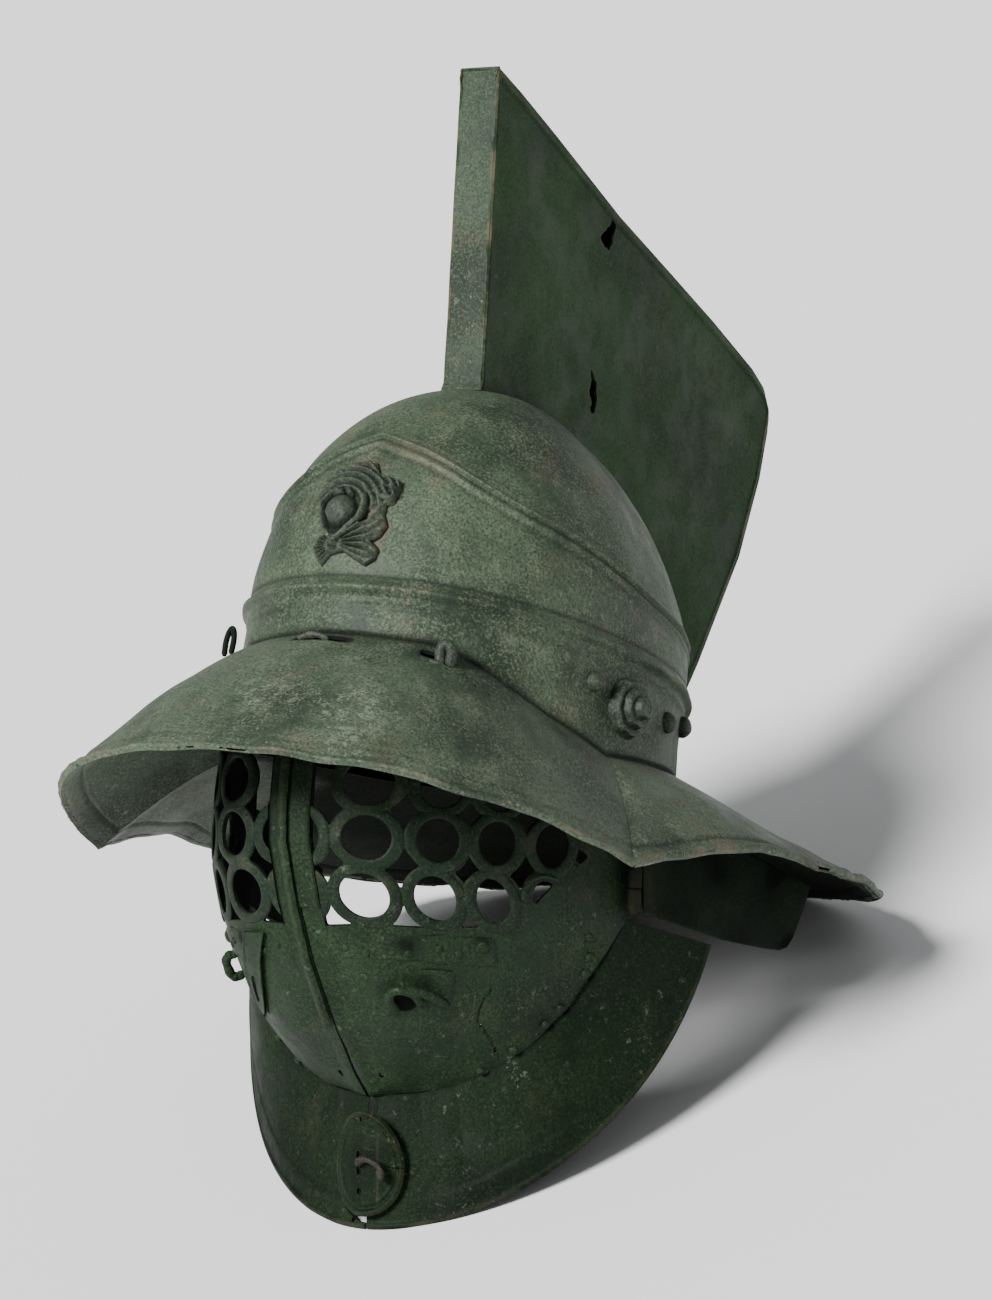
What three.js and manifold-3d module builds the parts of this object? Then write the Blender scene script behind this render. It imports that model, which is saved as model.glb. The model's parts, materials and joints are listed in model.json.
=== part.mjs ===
// Murmillo helmet in sheet bronze, sizes in mm.
// Helmet frame: +Z along the bowl's axis from its level rib, the face towards -Y, the wearer's left +X.
// The last group pitches the helmet back on to its chin and the back of its neck guard.
import * as THREE from 'three';
import { mergeVertices } from 'three/addons/utils/BufferGeometryUtils.js';
import Module from 'manifold-3d';

const wasm = await Module();
wasm.setup();

// Driving sizes
const SHEET = 1.5; // bronze sheet
const GAP = 0.35; // between pieces that touch
const REST_PITCH = 43.2; // degrees the helmet leans back at rest
const WORN_FLAT = 0.5; // depth of the flats worn where it touches the floor

const BOWL = {
  halfWidth: 89, front: 113, back: 108, height: 115, frontPower: 2.3, sidePower: 1.7, columns: 36,
};
const LOWER_RIB = { z: 0, rise: 3.2, halfBand: 6 };
const GABLE_RIB = { rise: 2.4, halfBand: 5 };
// height of the peaked rib round the bowl, by angle from the front
const GABLE_PATH = [
  { deg: 0, z: 70 }, { deg: 20, z: 61 }, { deg: 34, z: 50.5 }, { deg: 47, z: 43.5 },
  { deg: 67, z: 37 }, { deg: 87, z: 28.5 }, { deg: 107, z: 23.5 }, { deg: 180, z: 19 },
];
// height of the line where the brim leaves the bowl
const JUNCTION_PATH = [
  { deg: 0, z: -20 }, { deg: 32, z: -21 }, { deg: 45, z: -29 }, { deg: 59, z: -38 },
  { deg: 77, z: -45.5 }, { deg: 90, z: -41 }, { deg: 110, z: -36 }, { deg: 180, z: -24 },
];

const CREASE = { deg: 77, z: -100 }; // corner where the peak meets the neck guard
const PEAK = { halfWidth: 135.2, reach: 183.5, offset: -2.3, power: 2.34, frontZ: -88.3, bulge: 5.5 };
const GUARD = { halfWidth: 154, reach: 206, power: 3.1, startDeg: 80.5 };
// half width of the neck guard just behind the crease, where it is narrower than its full curve
const SHOULDER = [
  { y: -64, x: 130.8 }, { y: -50, x: 136 }, { y: -26, x: 141 }, { y: -4, x: 146 }, { y: 20, x: 150 },
  { y: 50, x: 153 }, { y: 70, x: 155 },
];
// height of the neck guard's rim, by distance behind the bowl's axis
const GUARD_RIM_PATH = [
  { y: -63.5, z: -100 }, { y: -50, z: -94 }, { y: -31, z: -87.3 }, { y: -5, z: -78.3 }, { y: 11, z: -73.5 },
  { y: 27, z: -71 }, { y: 50, z: -69.5 }, { y: 97, z: -64.5 }, { y: 135, z: -60 }, { y: 177, z: -52 },
  { y: 206, z: -44 },
];

const CREST = { halfWidth: 10, plate: 1.2, frontTopY: -70, frontTopZ: 245, footY: -43, footZ: 112 };
// outline of the crest's side from the top front corner to the nape
const CREST_OUTLINE = [
  { y: -70, z: 245 }, { y: -48, z: 241.5 }, { y: -15, z: 235 }, { y: 48, z: 221.5 }, { y: 100, z: 213.5 },
  { y: 144, z: 206.5 }, { y: 186, z: 198.5 }, { y: 199, z: 194 }, { y: 206, z: 187 }, { y: 209, z: 176 },
  { y: 208, z: 152 }, { y: 200, z: 112 }, { y: 177, z: 54 }, { y: 158, z: 14 }, { y: 150, z: 6 },
  { y: 140, z: 3 },
];

const CREST_HOLES = [
  { y: 41, z: 209.5, wide: 8, tall: 14, lean: 0.35 },
  { y: 48.5, z: 139.5, wide: 7, tall: 14, lean: -0.25 },
];

const VISOR = {
  topZ: -60, hingeZ: -94, chinZ: -193, halfWidth: 95, power: 2.6, edgePower: 1.86, seam: 0.35,
};
// the visor's middle line and the line where the throat flange leaves it
const VISOR_MEDIAN = [
  { z: -50, y: -121 }, { z: -78, y: -121.5 }, { z: -95, y: -119 }, { z: -108, y: -115 },
  { z: -129, y: -101 },
  { z: -150, y: -83 }, { z: -173, y: -57 }, { z: -186, y: -37 }, { z: -193, y: -26 },
];
const VISOR_EDGE = [
  { z: -50, y: -8 }, { z: -94, y: 2 }, { z: -111, y: 0.5 }, { z: -129, y: -2 }, { z: -147, y: -4 },
  { z: -162, y: -6 }, { z: -175, y: -7.6 }, { z: -185, y: -10.5 }, { z: -190, y: -16 }, { z: -193, y: -22 },
];
// heights with the helmet worn level, and distances round the visor from its middle line
const WORN_LEAN = 13;
const GRILLE_ROWS = [
  { level: -54.3, columns: 3 }, { level: -77.8, columns: 4 }, { level: -100.5, columns: 3 },
];
const GRILLE_COLUMNS = [
  { distance: 32.5, half: 10.8 }, { distance: 63, half: 9.8 }, { distance: 90, half: 9.3 },
  { distance: 116, half: 8.8 },
];
const RING_HALF_HEIGHT = 9.3;
const DIAMOND = { half: 7, waist: 2.3 };
const BAND = { from: 9, to: 84, top: -115.5, bottom: -126 };
const STAPLE_PLATE = { from: 22, to: 57, top: -130.5, bottom: -149 };

const FLANGE = {
  halfWidth: 112.6, height: 160.8, power: 1.93, slope: 72.2, chinY: -4.5, chinZ: -246, bow: -10.2,
  topZ: -107.5, chinForward: 6,
};

const HINGE = { x: 98.8, y: -5.5, z: -94, radius: 2.8, bottomZ: -105, topZ: -61 };
const WING = { endX: 121, endY: 93, thickness: 1.4 };
// outline of the wing plate, by distance behind the hinge
const WING_OUTLINE = [
  { s: 6.5, z: -105 }, { s: 58, z: -103.5 }, { s: 84, z: -100.5 }, { s: 93, z: -99 }, { s: 98, z: -96.5 },
  { s: 101, z: -92 }, { s: 106, z: -76 }, { s: 108, z: -67 }, { s: 72, z: -64 }, { s: 32, z: -62 },
  { s: -3.2, z: -64 },
];
const RELIEF = { deg: 1.5, z: 32, halfWidth: 18.8, halfHeight: 26, corner: 25.5, depth: 7 };
// bosses on the bowl's sides, by angle from the front and height
const SIDE_BOSSES = [
  { name: 'stud_front', deg: 71, z: -17, radius: 4.2, height: 3.6, tiers: 1 },
  { name: 'rosette', deg: 83, z: -22, radius: 12.5, height: 8.5, tiers: 3 },
  { name: 'stud_rear', deg: 101, z: -18, radius: 4.6, height: 4, tiers: 1 },
  { name: 'stud_nape', deg: 117, z: -18, radius: 4.6, height: 3.6, tiers: 1 },
];
const HASP = { from: 17, drift: 22, wide: 15, top: -118, bottom: -147 };
const CLASP = { x: 0.8, z: -221, halfWidth: 16.5, halfHeight: 21, wrap: 0.55, stand: 1.6, room: 1.5 };

// Helpers
const radians = THREE.MathUtils.degToRad;

function along(path, key, at, value) {
  const rising = path[path.length - 1][key] > path[0][key];
  const rows = rising ? path : [...path].reverse();
  if (at <= rows[0][key]) return rows[0][value];
  for (let i = 1; i < rows.length; i += 1) {
    if (at > rows[i][key]) continue;
    const f = (at - rows[i - 1][key]) / (rows[i][key] - rows[i - 1][key]);
    return rows[i - 1][value] + f * (rows[i][value] - rows[i - 1][value]);
  }
  return rows[rows.length - 1][value];
}

const signedPower = (value, power) => Math.sign(value) * Math.abs(value) ** power;

// closed body from a grid of points with walls round its open sides
function bodyFromGrids(outer, inner, closedU) {
  const rows = outer.length;
  const columns = outer[0].length;
  const points = [...outer.flat(), ...inner.flat()];
  const id = (layer, i, j) => layer * rows * columns + i * columns + (closedU ? j % columns : j);
  const index = [];
  const quad = (a, b, c, d) => index.push(a, b, c, a, c, d);
  const lastJ = closedU ? columns : columns - 1;
  for (let i = 0; i < rows - 1; i += 1) {
    for (let j = 0; j < lastJ; j += 1) {
      quad(id(0, i, j), id(0, i, j + 1), id(0, i + 1, j + 1), id(0, i + 1, j));
      quad(id(1, i, j), id(1, i + 1, j), id(1, i + 1, j + 1), id(1, i, j + 1));
    }
  }
  for (let j = 0; j < lastJ; j += 1) {
    quad(id(0, 0, j + 1), id(0, 0, j), id(1, 0, j), id(1, 0, j + 1));
    quad(id(0, rows - 1, j), id(0, rows - 1, j + 1), id(1, rows - 1, j + 1), id(1, rows - 1, j));
  }
  if (!closedU) {
    for (let i = 0; i < rows - 1; i += 1) {
      quad(id(0, i, 0), id(0, i + 1, 0), id(1, i + 1, 0), id(1, i, 0));
      quad(id(0, i + 1, lastJ), id(0, i, lastJ), id(1, i, lastJ), id(1, i + 1, lastJ));
    }
  }
  return solidFrom(points, index);
}

// indexed geometry with doubled points joined, empty triangles dropped, and faces out
function solidFrom(points, index) {
  const raw = new THREE.BufferGeometry();
  raw.setAttribute('position', new THREE.Float32BufferAttribute(points.flatMap((p) => [p.x, p.y, p.z]), 3));
  raw.setIndex(index);
  const joined = mergeVertices(raw, 1e-4);
  const ids = joined.index.array;
  const kept = [];
  for (let i = 0; i < ids.length; i += 3) {
    const [a, b, c] = [ids[i], ids[i + 1], ids[i + 2]];
    if (a !== b && b !== c && a !== c) kept.push(a, b, c);
  }
  joined.setIndex(kept);
  if (volume(joined) < 0) {
    for (let i = 0; i < kept.length; i += 3) [kept[i + 1], kept[i + 2]] = [kept[i + 2], kept[i + 1]];
    joined.setIndex(kept);
  }
  return joined;
}

function volume(geometry) {
  const at = geometry.attributes.position;
  const ids = geometry.index.array;
  const [a, b, c] = [new THREE.Vector3(), new THREE.Vector3(), new THREE.Vector3()];
  let sum = 0;
  for (let i = 0; i < ids.length; i += 3) {
    a.fromBufferAttribute(at, ids[i]);
    b.fromBufferAttribute(at, ids[i + 1]);
    c.fromBufferAttribute(at, ids[i + 2]);
    sum += a.dot(b.cross(c)) / 6;
  }
  return sum;
}

// unit normals of a grid of points, pointing away from the given centre
function gridNormals(grid, closedU, centre) {
  const rows = grid.length;
  const columns = grid[0].length;
  return grid.map((row, i) => row.map((point, j) => {
    const left = closedU ? row[(j + columns - 1) % columns] : row[Math.max(j - 1, 0)];
    const right = closedU ? row[(j + 1) % columns] : row[Math.min(j + 1, columns - 1)];
    const down = grid[Math.max(i - 1, 0)][j];
    const up = grid[Math.min(i + 1, rows - 1)][j];
    const normal = new THREE.Vector3().crossVectors(right.clone().sub(left), up.clone().sub(down));
    if (normal.lengthSq() < 1e-8) normal.copy(point).sub(centre);
    normal.normalize();
    return normal.dot(point.clone().sub(centre)) < 0 ? normal.negate() : normal;
  }));
}

// sheet of even thickness behind the surface point(u, v)
function sheet(point, uValues, vValues, thickness, { closedU = false, centre = new THREE.Vector3() } = {}) {
  const outer = vValues.map((v) => uValues.map((u) => point(u, v)));
  const normals = gridNormals(outer, closedU, centre);
  const inner = outer.map((row, i) => row.map((p, j) => (
    p.clone().addScaledVector(normals[i][j], -thickness)
  )));
  return bodyFromGrids(outer, inner, closedU);
}

const steps = (from, to, count) => (
  Array.from({ length: count + 1 }, (_, i) => from + ((to - from) * i) / count)
);

function toManifold(geometry) {
  const joined = geometry.index ? geometry : mergeVertices(geometry, 1e-4);
  return new wasm.Manifold(new wasm.Mesh({
    numProp: 3,
    vertProperties: new Float32Array(joined.attributes.position.array),
    triVerts: new Uint32Array(joined.index.array),
  }));
}

function fromManifold(manifold) {
  const mesh = manifold.getMesh();
  const geometry = new THREE.BufferGeometry();
  geometry.setAttribute('position', new THREE.Float32BufferAttribute(mesh.vertProperties, mesh.numProp));
  geometry.setIndex([...mesh.triVerts]);
  return geometry;
}

// bare positions, doubled points joined, so that the body closes
function bare(geometry) {
  const plain = new THREE.BufferGeometry();
  plain.setAttribute('position', geometry.attributes.position);
  plain.setIndex(geometry.index);
  return mergeVertices(plain, 1e-4);
}

function cut(geometry, cutters) {
  let result = toManifold(geometry);
  cutters.forEach((cutter) => {
    result = result.subtract(toManifold(bare(cutter)));
  });
  return fromManifold(result);
}

// prism with the given outline, standing through the point along the normal
function prism(outline, place, normal, depth, upHint = new THREE.Vector3(0, 0, 1)) {
  const shape = new THREE.Shape(outline.map((p) => new THREE.Vector2(p.x, p.y)));
  const geometry = new THREE.ExtrudeGeometry(shape, { depth: 2 * depth, bevelEnabled: false, steps: 1 });
  geometry.translate(0, 0, -depth);
  const across = new THREE.Vector3().crossVectors(upHint, normal).normalize();
  const up = new THREE.Vector3().crossVectors(normal, across).normalize();
  const frame = new THREE.Matrix4().makeBasis(across, up, normal).setPosition(place);
  return geometry.applyMatrix4(frame);
}

const circle = (radius, count, turn = 0) => Array.from({ length: count }, (_, i) => ({
  x: radius * Math.cos(turn + (2 * Math.PI * i) / count),
  y: radius * Math.sin(turn + (2 * Math.PI * i) / count),
}));

// round bar bent along the points
function bar(points, radius, segments = 8, count = 12) {
  const path = new THREE.CatmullRomCurve3(points, false, 'centripetal');
  const shape = new THREE.Shape(circle(radius, segments).map((p) => new THREE.Vector2(p.x, p.y)));
  return bare(new THREE.ExtrudeGeometry(shape, { extrudePath: path, steps: count, bevelEnabled: false }));
}

const helmet = new THREE.Group();
helmet.name = 'helmet_frame';

function add(name, geometry, color, roughness = 0.62) {
  const clean = bare(geometry).toNonIndexed();
  clean.computeVertexNormals();
  const mesh = new THREE.Mesh(clean, new THREE.MeshStandardMaterial({ color, metalness: 0.55, roughness }));
  mesh.name = name;
  helmet.add(mesh);
  return mesh;
}

function mirrored(geometry) {
  const copy = bare(geometry).applyMatrix4(new THREE.Matrix4().makeScale(-1, 1, 1));
  const ids = copy.index.array;
  for (let i = 0; i < ids.length; i += 3) [ids[i + 1], ids[i + 2]] = [ids[i + 2], ids[i + 1]];
  return copy;
}

function addPair(stem, geometry, color, roughness) {
  add(`${stem}_left`, geometry, color, roughness);
  add(`${stem}_right`, mirrored(geometry), color, roughness);
}

// Bowl
function bowlPower(deg) {
  const ahead = Math.max(0, Math.cos(radians(deg)));
  return BOWL.sidePower + (BOWL.frontPower - BOWL.sidePower) * ahead;
}

function bowlScale(deg, z) {
  const power = bowlPower(deg);
  return z <= 0 ? 1 : Math.max(0, 1 - (z / BOWL.height) ** power) ** (1 / power);
}

function bowlPoint(deg, z, rise = 0) {
  const a = radians(deg);
  const scale = bowlScale(deg, z);
  const length = Math.cos(a) > 0 ? BOWL.front : BOWL.back;
  const x = BOWL.halfWidth * scale * Math.sin(a);
  const y = -length * scale * Math.cos(a);
  const outward = new THREE.Vector3(x / BOWL.halfWidth, y / length, 0).normalize();
  return new THREE.Vector3(x, y, z).addScaledVector(outward, scale > 0.02 ? rise : 0);
}

// height of the bowl's outside above a plan point
function bowlTop(x, y) {
  const length = y < 0 ? BOWL.front : BOWL.back;
  const scale = Math.hypot(x / BOWL.halfWidth, y / length);
  const power = bowlPower(THREE.MathUtils.radToDeg(Math.atan2(x / BOWL.halfWidth, -y / length)));
  return scale >= 1 ? 0 : BOWL.height * (1 - scale ** power) ** (1 / power);
}

const junctionZ = (deg) => along(JUNCTION_PATH, 'deg', Math.abs(deg), 'z');
const gableZ = (deg) => along(GABLE_PATH, 'deg', Math.abs(deg), 'z');

// rows of the bowl's grid follow its edge and both ribs
function bowlRows(deg) {
  const edge = junctionZ(deg) - 2;
  const gable = gableZ(deg);
  const rows = [{ z: edge, rise: 0 }, { z: (edge - LOWER_RIB.halfBand) / 2, rise: 0 }];
  [-1, -0.5, 0, 0.5, 1].forEach((s) => {
    const rise = LOWER_RIB.rise * Math.cos((s * Math.PI) / 2);
    rows.push({ z: LOWER_RIB.z + s * LOWER_RIB.halfBand, rise });
  });
  [-1, -0.45, 0, 0.45, 1].forEach((s) => {
    const rise = GABLE_RIB.rise * Math.cos((s * Math.PI) / 2);
    rows.push({ z: gable + s * GABLE_RIB.halfBand, rise });
  });
  const start = bowlScale(deg, gable + GABLE_RIB.halfBand);
  const power = bowlPower(deg);
  [0.86, 0.7, 0.5, 0.28, 0].forEach((f) => {
    rows.push({ z: BOWL.height * (1 - (start * f) ** power) ** (1 / power), rise: 0 });
  });
  return rows;
}

const bowlAngles = Array.from({ length: BOWL.columns }, (_, i) => (360 * i) / BOWL.columns - 180);
const bowlSurface = (lift) => (deg, i) => {
  const row = bowlRows(deg)[i];
  return bowlPoint(deg, row.z, row.rise + lift);
};
const bowlRowSteps = steps(0, bowlRows(0).length - 1, bowlRows(0).length - 1);
const bowlGeometry = sheet(bowlSurface(0), bowlAngles, bowlRowSteps, SHEET, { closedU: true });
// thicker copy just outside the bowl, for cutting what stands on it
const bowlCutter = sheet(
  (deg, i) => {
    const point = bowlSurface(GAP)(deg, i);
    point.z += i === 0 ? -3 : 0;
    point.z += point.z > 60 ? GAP : 0;
    return point;
  },
  bowlAngles,
  bowlRowSteps,
  9,
  { closedU: true },
);
add('bowl', bowlGeometry, 0x4d6a58);

// block that takes off whatever hangs below the floor, as its wear has
const leanBack = new THREE.Matrix4().makeRotationX(-radians(REST_PITCH));
const floorBlock = (level) => new THREE.BoxGeometry(600, 600, 60)
  .translate(0, 0, level - 30)
  .applyMatrix4(leanBack.clone().invert());
const restHeight = (point) => point.clone().applyMatrix4(leanBack).z;

// Brim: peak in front, neck guard behind
function superPlan(deg, halfWidth, reach, power) {
  const a = radians(deg);
  return {
    x: halfWidth * signedPower(Math.sin(a), 2 / power),
    y: -reach * signedPower(Math.cos(a), 2 / power),
  };
}

const PEAK_END = 74; // plan angle of the peak's rim at the crease

function peakRim(s) {
  const plan = superPlan(s * PEAK_END, PEAK.halfWidth, PEAK.reach, PEAK.power);
  const z = PEAK.frontZ + (CREASE.z - PEAK.frontZ) * s * s;
  return new THREE.Vector3(plan.x, plan.y + PEAK.offset, z);
}

const peakEnd = peakRim(1);

// s runs from the crease at -1 or 1 to the nape at 0
function guardRim(s) {
  const side = Math.sign(s) || 1;
  const t = 1 - Math.abs(s);
  const deg = GUARD.startDeg + (180 - GUARD.startDeg) * t;
  const plan = superPlan(deg, GUARD.halfWidth, GUARD.reach, GUARD.power);
  const y = Math.max(plan.y, peakEnd.y);
  const x = Math.min(plan.x, along(SHOULDER, 'y', y, 'x'));
  return new THREE.Vector3(side * x, y, along(GUARD_RIM_PATH, 'y', y, 'z'));
}

function junctionPoint(deg) {
  const point = bowlPoint(deg, junctionZ(deg));
  const length = Math.cos(radians(deg)) > 0 ? BOWL.front : BOWL.back;
  const out = new THREE.Vector3(point.x / BOWL.halfWidth ** 2, point.y / length ** 2, 0).normalize();
  return point.addScaledVector(out, GAP);
}

const BRIM_ROWS = [0, 0.22, 0.48, 0.76, 1]; // from the bowl to the rim

function brimPoint(root, rim, v, bulge) {
  const point = root.clone().lerp(rim, v);
  point.z += bulge * Math.sin(Math.PI * v ** 0.85);
  return point;
}

const brimCentre = new THREE.Vector3(0, 0, -400);
const peakGeometry = sheet(
  (s, v) => brimPoint(junctionPoint(s * CREASE.deg), peakRim(s), v, PEAK.bulge),
  steps(-1, 1, 24),
  BRIM_ROWS,
  SHEET,
  { centre: brimCentre },
);
const guardGeometry = sheet(
  (s, v) => {
    const side = Math.sign(s) || 1;
    const t = 1 - Math.abs(s);
    const deg = side * (CREASE.deg + (180 - CREASE.deg) * t);
    const point = brimPoint(junctionPoint(deg), guardRim(s), v, 0);
    point.y += GAP * (1 - THREE.MathUtils.smoothstep(t, 0, 0.1));
    return point;
  },
  [...steps(-1, 0, 15), ...steps(0, 1, 15).slice(1)],
  BRIM_ROWS,
  SHEET,
  { centre: brimCentre },
);
const browSlots = [
  { x: 0, y: -121.5, wide: 25 },
  { x: 53, y: -105.5, wide: 13 },
].map((slot) => {
  const half = { x: slot.wide / 2, y: 2 };
  const outline = [{ x: -half.x, y: -half.y }, { x: half.x, y: -half.y }, { x: half.x, y: half.y },
    { x: -half.x, y: half.y }];
  const turn = Math.atan2(slot.x, -slot.y);
  const out = new THREE.Vector3(Math.sin(turn), -Math.cos(turn), 1).normalize();
  return prism(outline, new THREE.Vector3(slot.x, slot.y, -25), out, 12);
});
// bent staple by the near slot, and the room it has through the brim
const browStaple = [[51.5, -104.8, -31], [51.5, -104.8, -23], [53.5, -105, -19.5], [56, -105.3, -21.5]]
  .map(([x, y, z]) => new THREE.Vector3(x, y, z));
const stapleRoom = bar(browStaple, 2.1, 8, 6);
add('front_brim', cut(peakGeometry, [...browSlots, stapleRoom, bowlCutter]), 0x53705e);
const FLOOR = restHeight(guardRim(0)) + WORN_FLAT;
add('rear_brim', cut(guardGeometry, [bowlCutter, floorBlock(FLOOR)]), 0x53705e);

// Crest box
const CREST_FOOT_DEPTH = 5; // how far its sheets are drawn into the bowl before they are cut to fit
// frame whose x, y and z are the helmet's y, z and x
const sideways = (x) => new THREE.Matrix4().makeBasis(
  new THREE.Vector3(0, 1, 0),
  new THREE.Vector3(0, 0, 1),
  new THREE.Vector3(1, 0, 0),
).setPosition(x, 0, 0);

function insetPath(path, distance) {
  return path.map((p, i) => {
    const before = path[Math.max(i - 1, 0)];
    const after = path[Math.min(i + 1, path.length - 1)];
    const direction = after.clone().sub(before).normalize();
    return new THREE.Vector2(p.x + direction.y * distance, p.y - direction.x * distance);
  });
}

const crestPath = CREST_OUTLINE.map((p) => new THREE.Vector2(p.y, p.z));
const crestFoot = steps(BOWL.back - 6, CREST.footY, 12).map((y) => (
  new THREE.Vector2(y, Math.max(3, bowlTop(0, y) - CREST_FOOT_DEPTH))
));
const crestHoles = CREST_HOLES.map((hole) => circle(1, 9, 0.3).map((p, i) => {
  const ragged = 1 + 0.28 * Math.sin(i * 2.7);
  const x = (p.x * hole.wide * ragged) / 2;
  const y = (p.y * hole.tall * ragged) / 2;
  return new THREE.Vector2(hole.y + x + hole.lean * y, hole.z + y);
}));

function crestPlate() {
  const shape = new THREE.Shape([...crestPath, ...crestFoot]);
  crestHoles.forEach((hole) => shape.holes.push(new THREE.Path(hole)));
  const geometry = new THREE.ExtrudeGeometry(shape, { depth: CREST.plate, bevelEnabled: false });
  return cut(bare(geometry.applyMatrix4(sideways(CREST.halfWidth - CREST.plate))), [bowlCutter]);
}

addPair('crest_plate', crestPlate(), 0x48614f);

// band of sheet between the side plates, just inside the path
function crestBand(path, from, to) {
  const half = CREST.halfWidth - CREST.plate - GAP;
  const shape = new THREE.Shape([...insetPath(path, from), ...insetPath(path, to).reverse()]);
  const geometry = new THREE.ExtrudeGeometry(shape, { depth: 2 * half, bevelEnabled: false });
  return cut(bare(geometry.applyMatrix4(sideways(-half))), [bowlCutter]);
}

const frontPath = [
  new THREE.Vector2(CREST.footY + 1, CREST.footZ - CREST_FOOT_DEPTH),
  new THREE.Vector2(CREST.frontTopY, CREST.frontTopZ),
];
add('crest_front_strip', crestBand(frontPath, 0, CREST.plate), 0x4d6a58);
const backPath = [...crestPath];
backPath[0] = new THREE.Vector2(CREST.frontTopY + CREST.plate + 0.8, CREST.frontTopZ - 0.4);
add('crest_edge_strip', crestBand(backPath, 0.1, 0.1 + CREST.plate), 0x5a5a44);

// Cast brow relief and side bosses, cut to lie on the bowl
function onBowl(deg, z, depth) {
  const place = bowlPoint(deg, z);
  const across = bowlPoint(deg + 1, z).sub(bowlPoint(deg - 1, z));
  const rise = bowlPoint(deg, z + 1).sub(place);
  const normal = across.cross(rise).normalize();
  return { place: place.addScaledVector(normal, -depth), normal };
}

function standing(geometry, { place, normal }) {
  const across = new THREE.Vector3().crossVectors(new THREE.Vector3(0, 0, 1), normal).normalize();
  const up = new THREE.Vector3().crossVectors(normal, across).normalize();
  return geometry.applyMatrix4(new THREE.Matrix4().makeBasis(across, up, normal).setPosition(place));
}

const hump = (x, y, centreX, centreY, radius) => (
  Math.max(0, 1 - ((x - centreX) ** 2 + (y - centreY) ** 2) / radius ** 2)
);

// height of the worn relief: a ball in a hood of folds, an ear of cloth above it and a knotted bow below
function reliefHeight(x, y) {
  const ball = 8 * Math.sqrt(hump(x, y, -1.5, 4, 8.5));
  const ring = Math.hypot(x + 1, (y - 6) * 0.9);
  const hood = 4.5 * Math.exp(-(((ring - 13) / 3.2) ** 2));
  const ear = 5 * Math.sqrt(hump(x, y, 14, 15, 7));
  const knot = 4.5 * Math.sqrt(hump(x, y, 0, -12.5, 4.5));
  const bow = 4 * Math.exp(-((((Math.abs(x) * 0.55) + (y + 12.5)) / 3.4) ** 2));
  return 2.2 + Math.max(ball, hood, ear, knot, bow);
}

const reliefAngles = Array.from({ length: 22 }, (_, i) => (360 * i) / 22);

function reliefReach(deg) {
  const a = radians(deg);
  const toSide = RELIEF.halfWidth / Math.max(Math.abs(Math.cos(a)), 0.01);
  const toEnd = RELIEF.halfHeight / Math.max(Math.abs(Math.sin(a)), 0.01);
  return Math.min(toSide, toEnd, RELIEF.corner) * (0.93 + 0.07 * Math.sin(5 * a + 0.6));
}

function reliefPoint(deg, r, height) {
  const a = radians(deg);
  const reach = reliefReach(deg) * r;
  const x = reach * Math.cos(a);
  const y = reach * Math.sin(a);
  return new THREE.Vector3(x, y, height(x, y, r));
}

const reliefTop = [0, 0.2, 0.4, 0.6, 0.8, 0.95].map((r) => reliefAngles.map((deg) => (
  reliefPoint(deg, r, (x, y, f) => RELIEF.depth + reliefHeight(x, y) * Math.sqrt(1 - 0.55 * f ** 6))
)));
const reliefBase = [0, 0.2, 0.4, 0.6, 0.8, 0.97].map((r) => (
  reliefAngles.map((deg) => reliefPoint(deg, r, () => 0))
));
const relief = standing(
  bodyFromGrids(reliefTop, reliefBase, true),
  onBowl(RELIEF.deg, RELIEF.z, RELIEF.depth),
);
add('brow_relief', cut(relief, [bowlCutter]), 0x3f5547);

function boss(profile, segments) {
  const lathe = new THREE.LatheGeometry(profile.map(([r, h]) => new THREE.Vector2(r, h)), segments);
  return bare(lathe).rotateX(Math.PI / 2);
}

SIDE_BOSSES.forEach(({ name, deg, z, radius, height, tiers }) => {
  const depth = 4;
  const profile = [[0, 0], [radius, 0]];
  for (let tier = 0; tier < tiers; tier += 1) {
    const outer = radius * (1 - tier / (tiers + 0.4));
    const top = depth + (height * (tier + 1)) / tiers;
    profile.push([outer, top - (height / tiers) * 0.35], [outer * 0.93, top]);
    if (tier < tiers - 1) profile.push([radius * (1 - (tier + 1) / (tiers + 0.4)), top]);
  }
  profile.push([0, depth + height * 1.08]);
  const placed = standing(boss(profile, tiers > 1 ? 14 : 8), onBowl(deg, z, depth));
  addPair(name, cut(placed, [bowlCutter]), 0x3f5547);
});

// Brow fittings on the brim: a loop, a pin and a staple
const loopBars = [[-3.2, 0], [-3.6, 5], [-2.2, 9], [0, 10.4], [2.2, 9], [3.6, 5], [3.2, 0]];
const loopSide = new THREE.Vector3(0.86, -0.5, 0);
add('brow_loop_right', bar(loopBars.map(([side, up]) => (
  new THREE.Vector3(-52, -105.5, -26.5 + up).addScaledVector(loopSide, side)
)), 1.3), 0x3a4f42);
const pinEnds = [-10, 9].map((x) => new THREE.Vector3(x, -122.4, -22));
add('brow_pin', bar(pinEnds, 1.4, 8, 1), 0x3a4f42);
add('brow_staple_left', bar(browStaple, 1.6, 8, 6), 0x3a4f42);

// Visor halves
const visorEdgeX = (z) => {
  if (z >= VISOR.hingeZ) return VISOR.halfWidth;
  const drop = Math.min(1, (VISOR.hingeZ - z) / (VISOR.hingeZ - VISOR.chinZ));
  return Math.max(1.5, VISOR.halfWidth * (1 - drop ** VISOR.edgePower) ** (1 / VISOR.edgePower));
};

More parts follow.
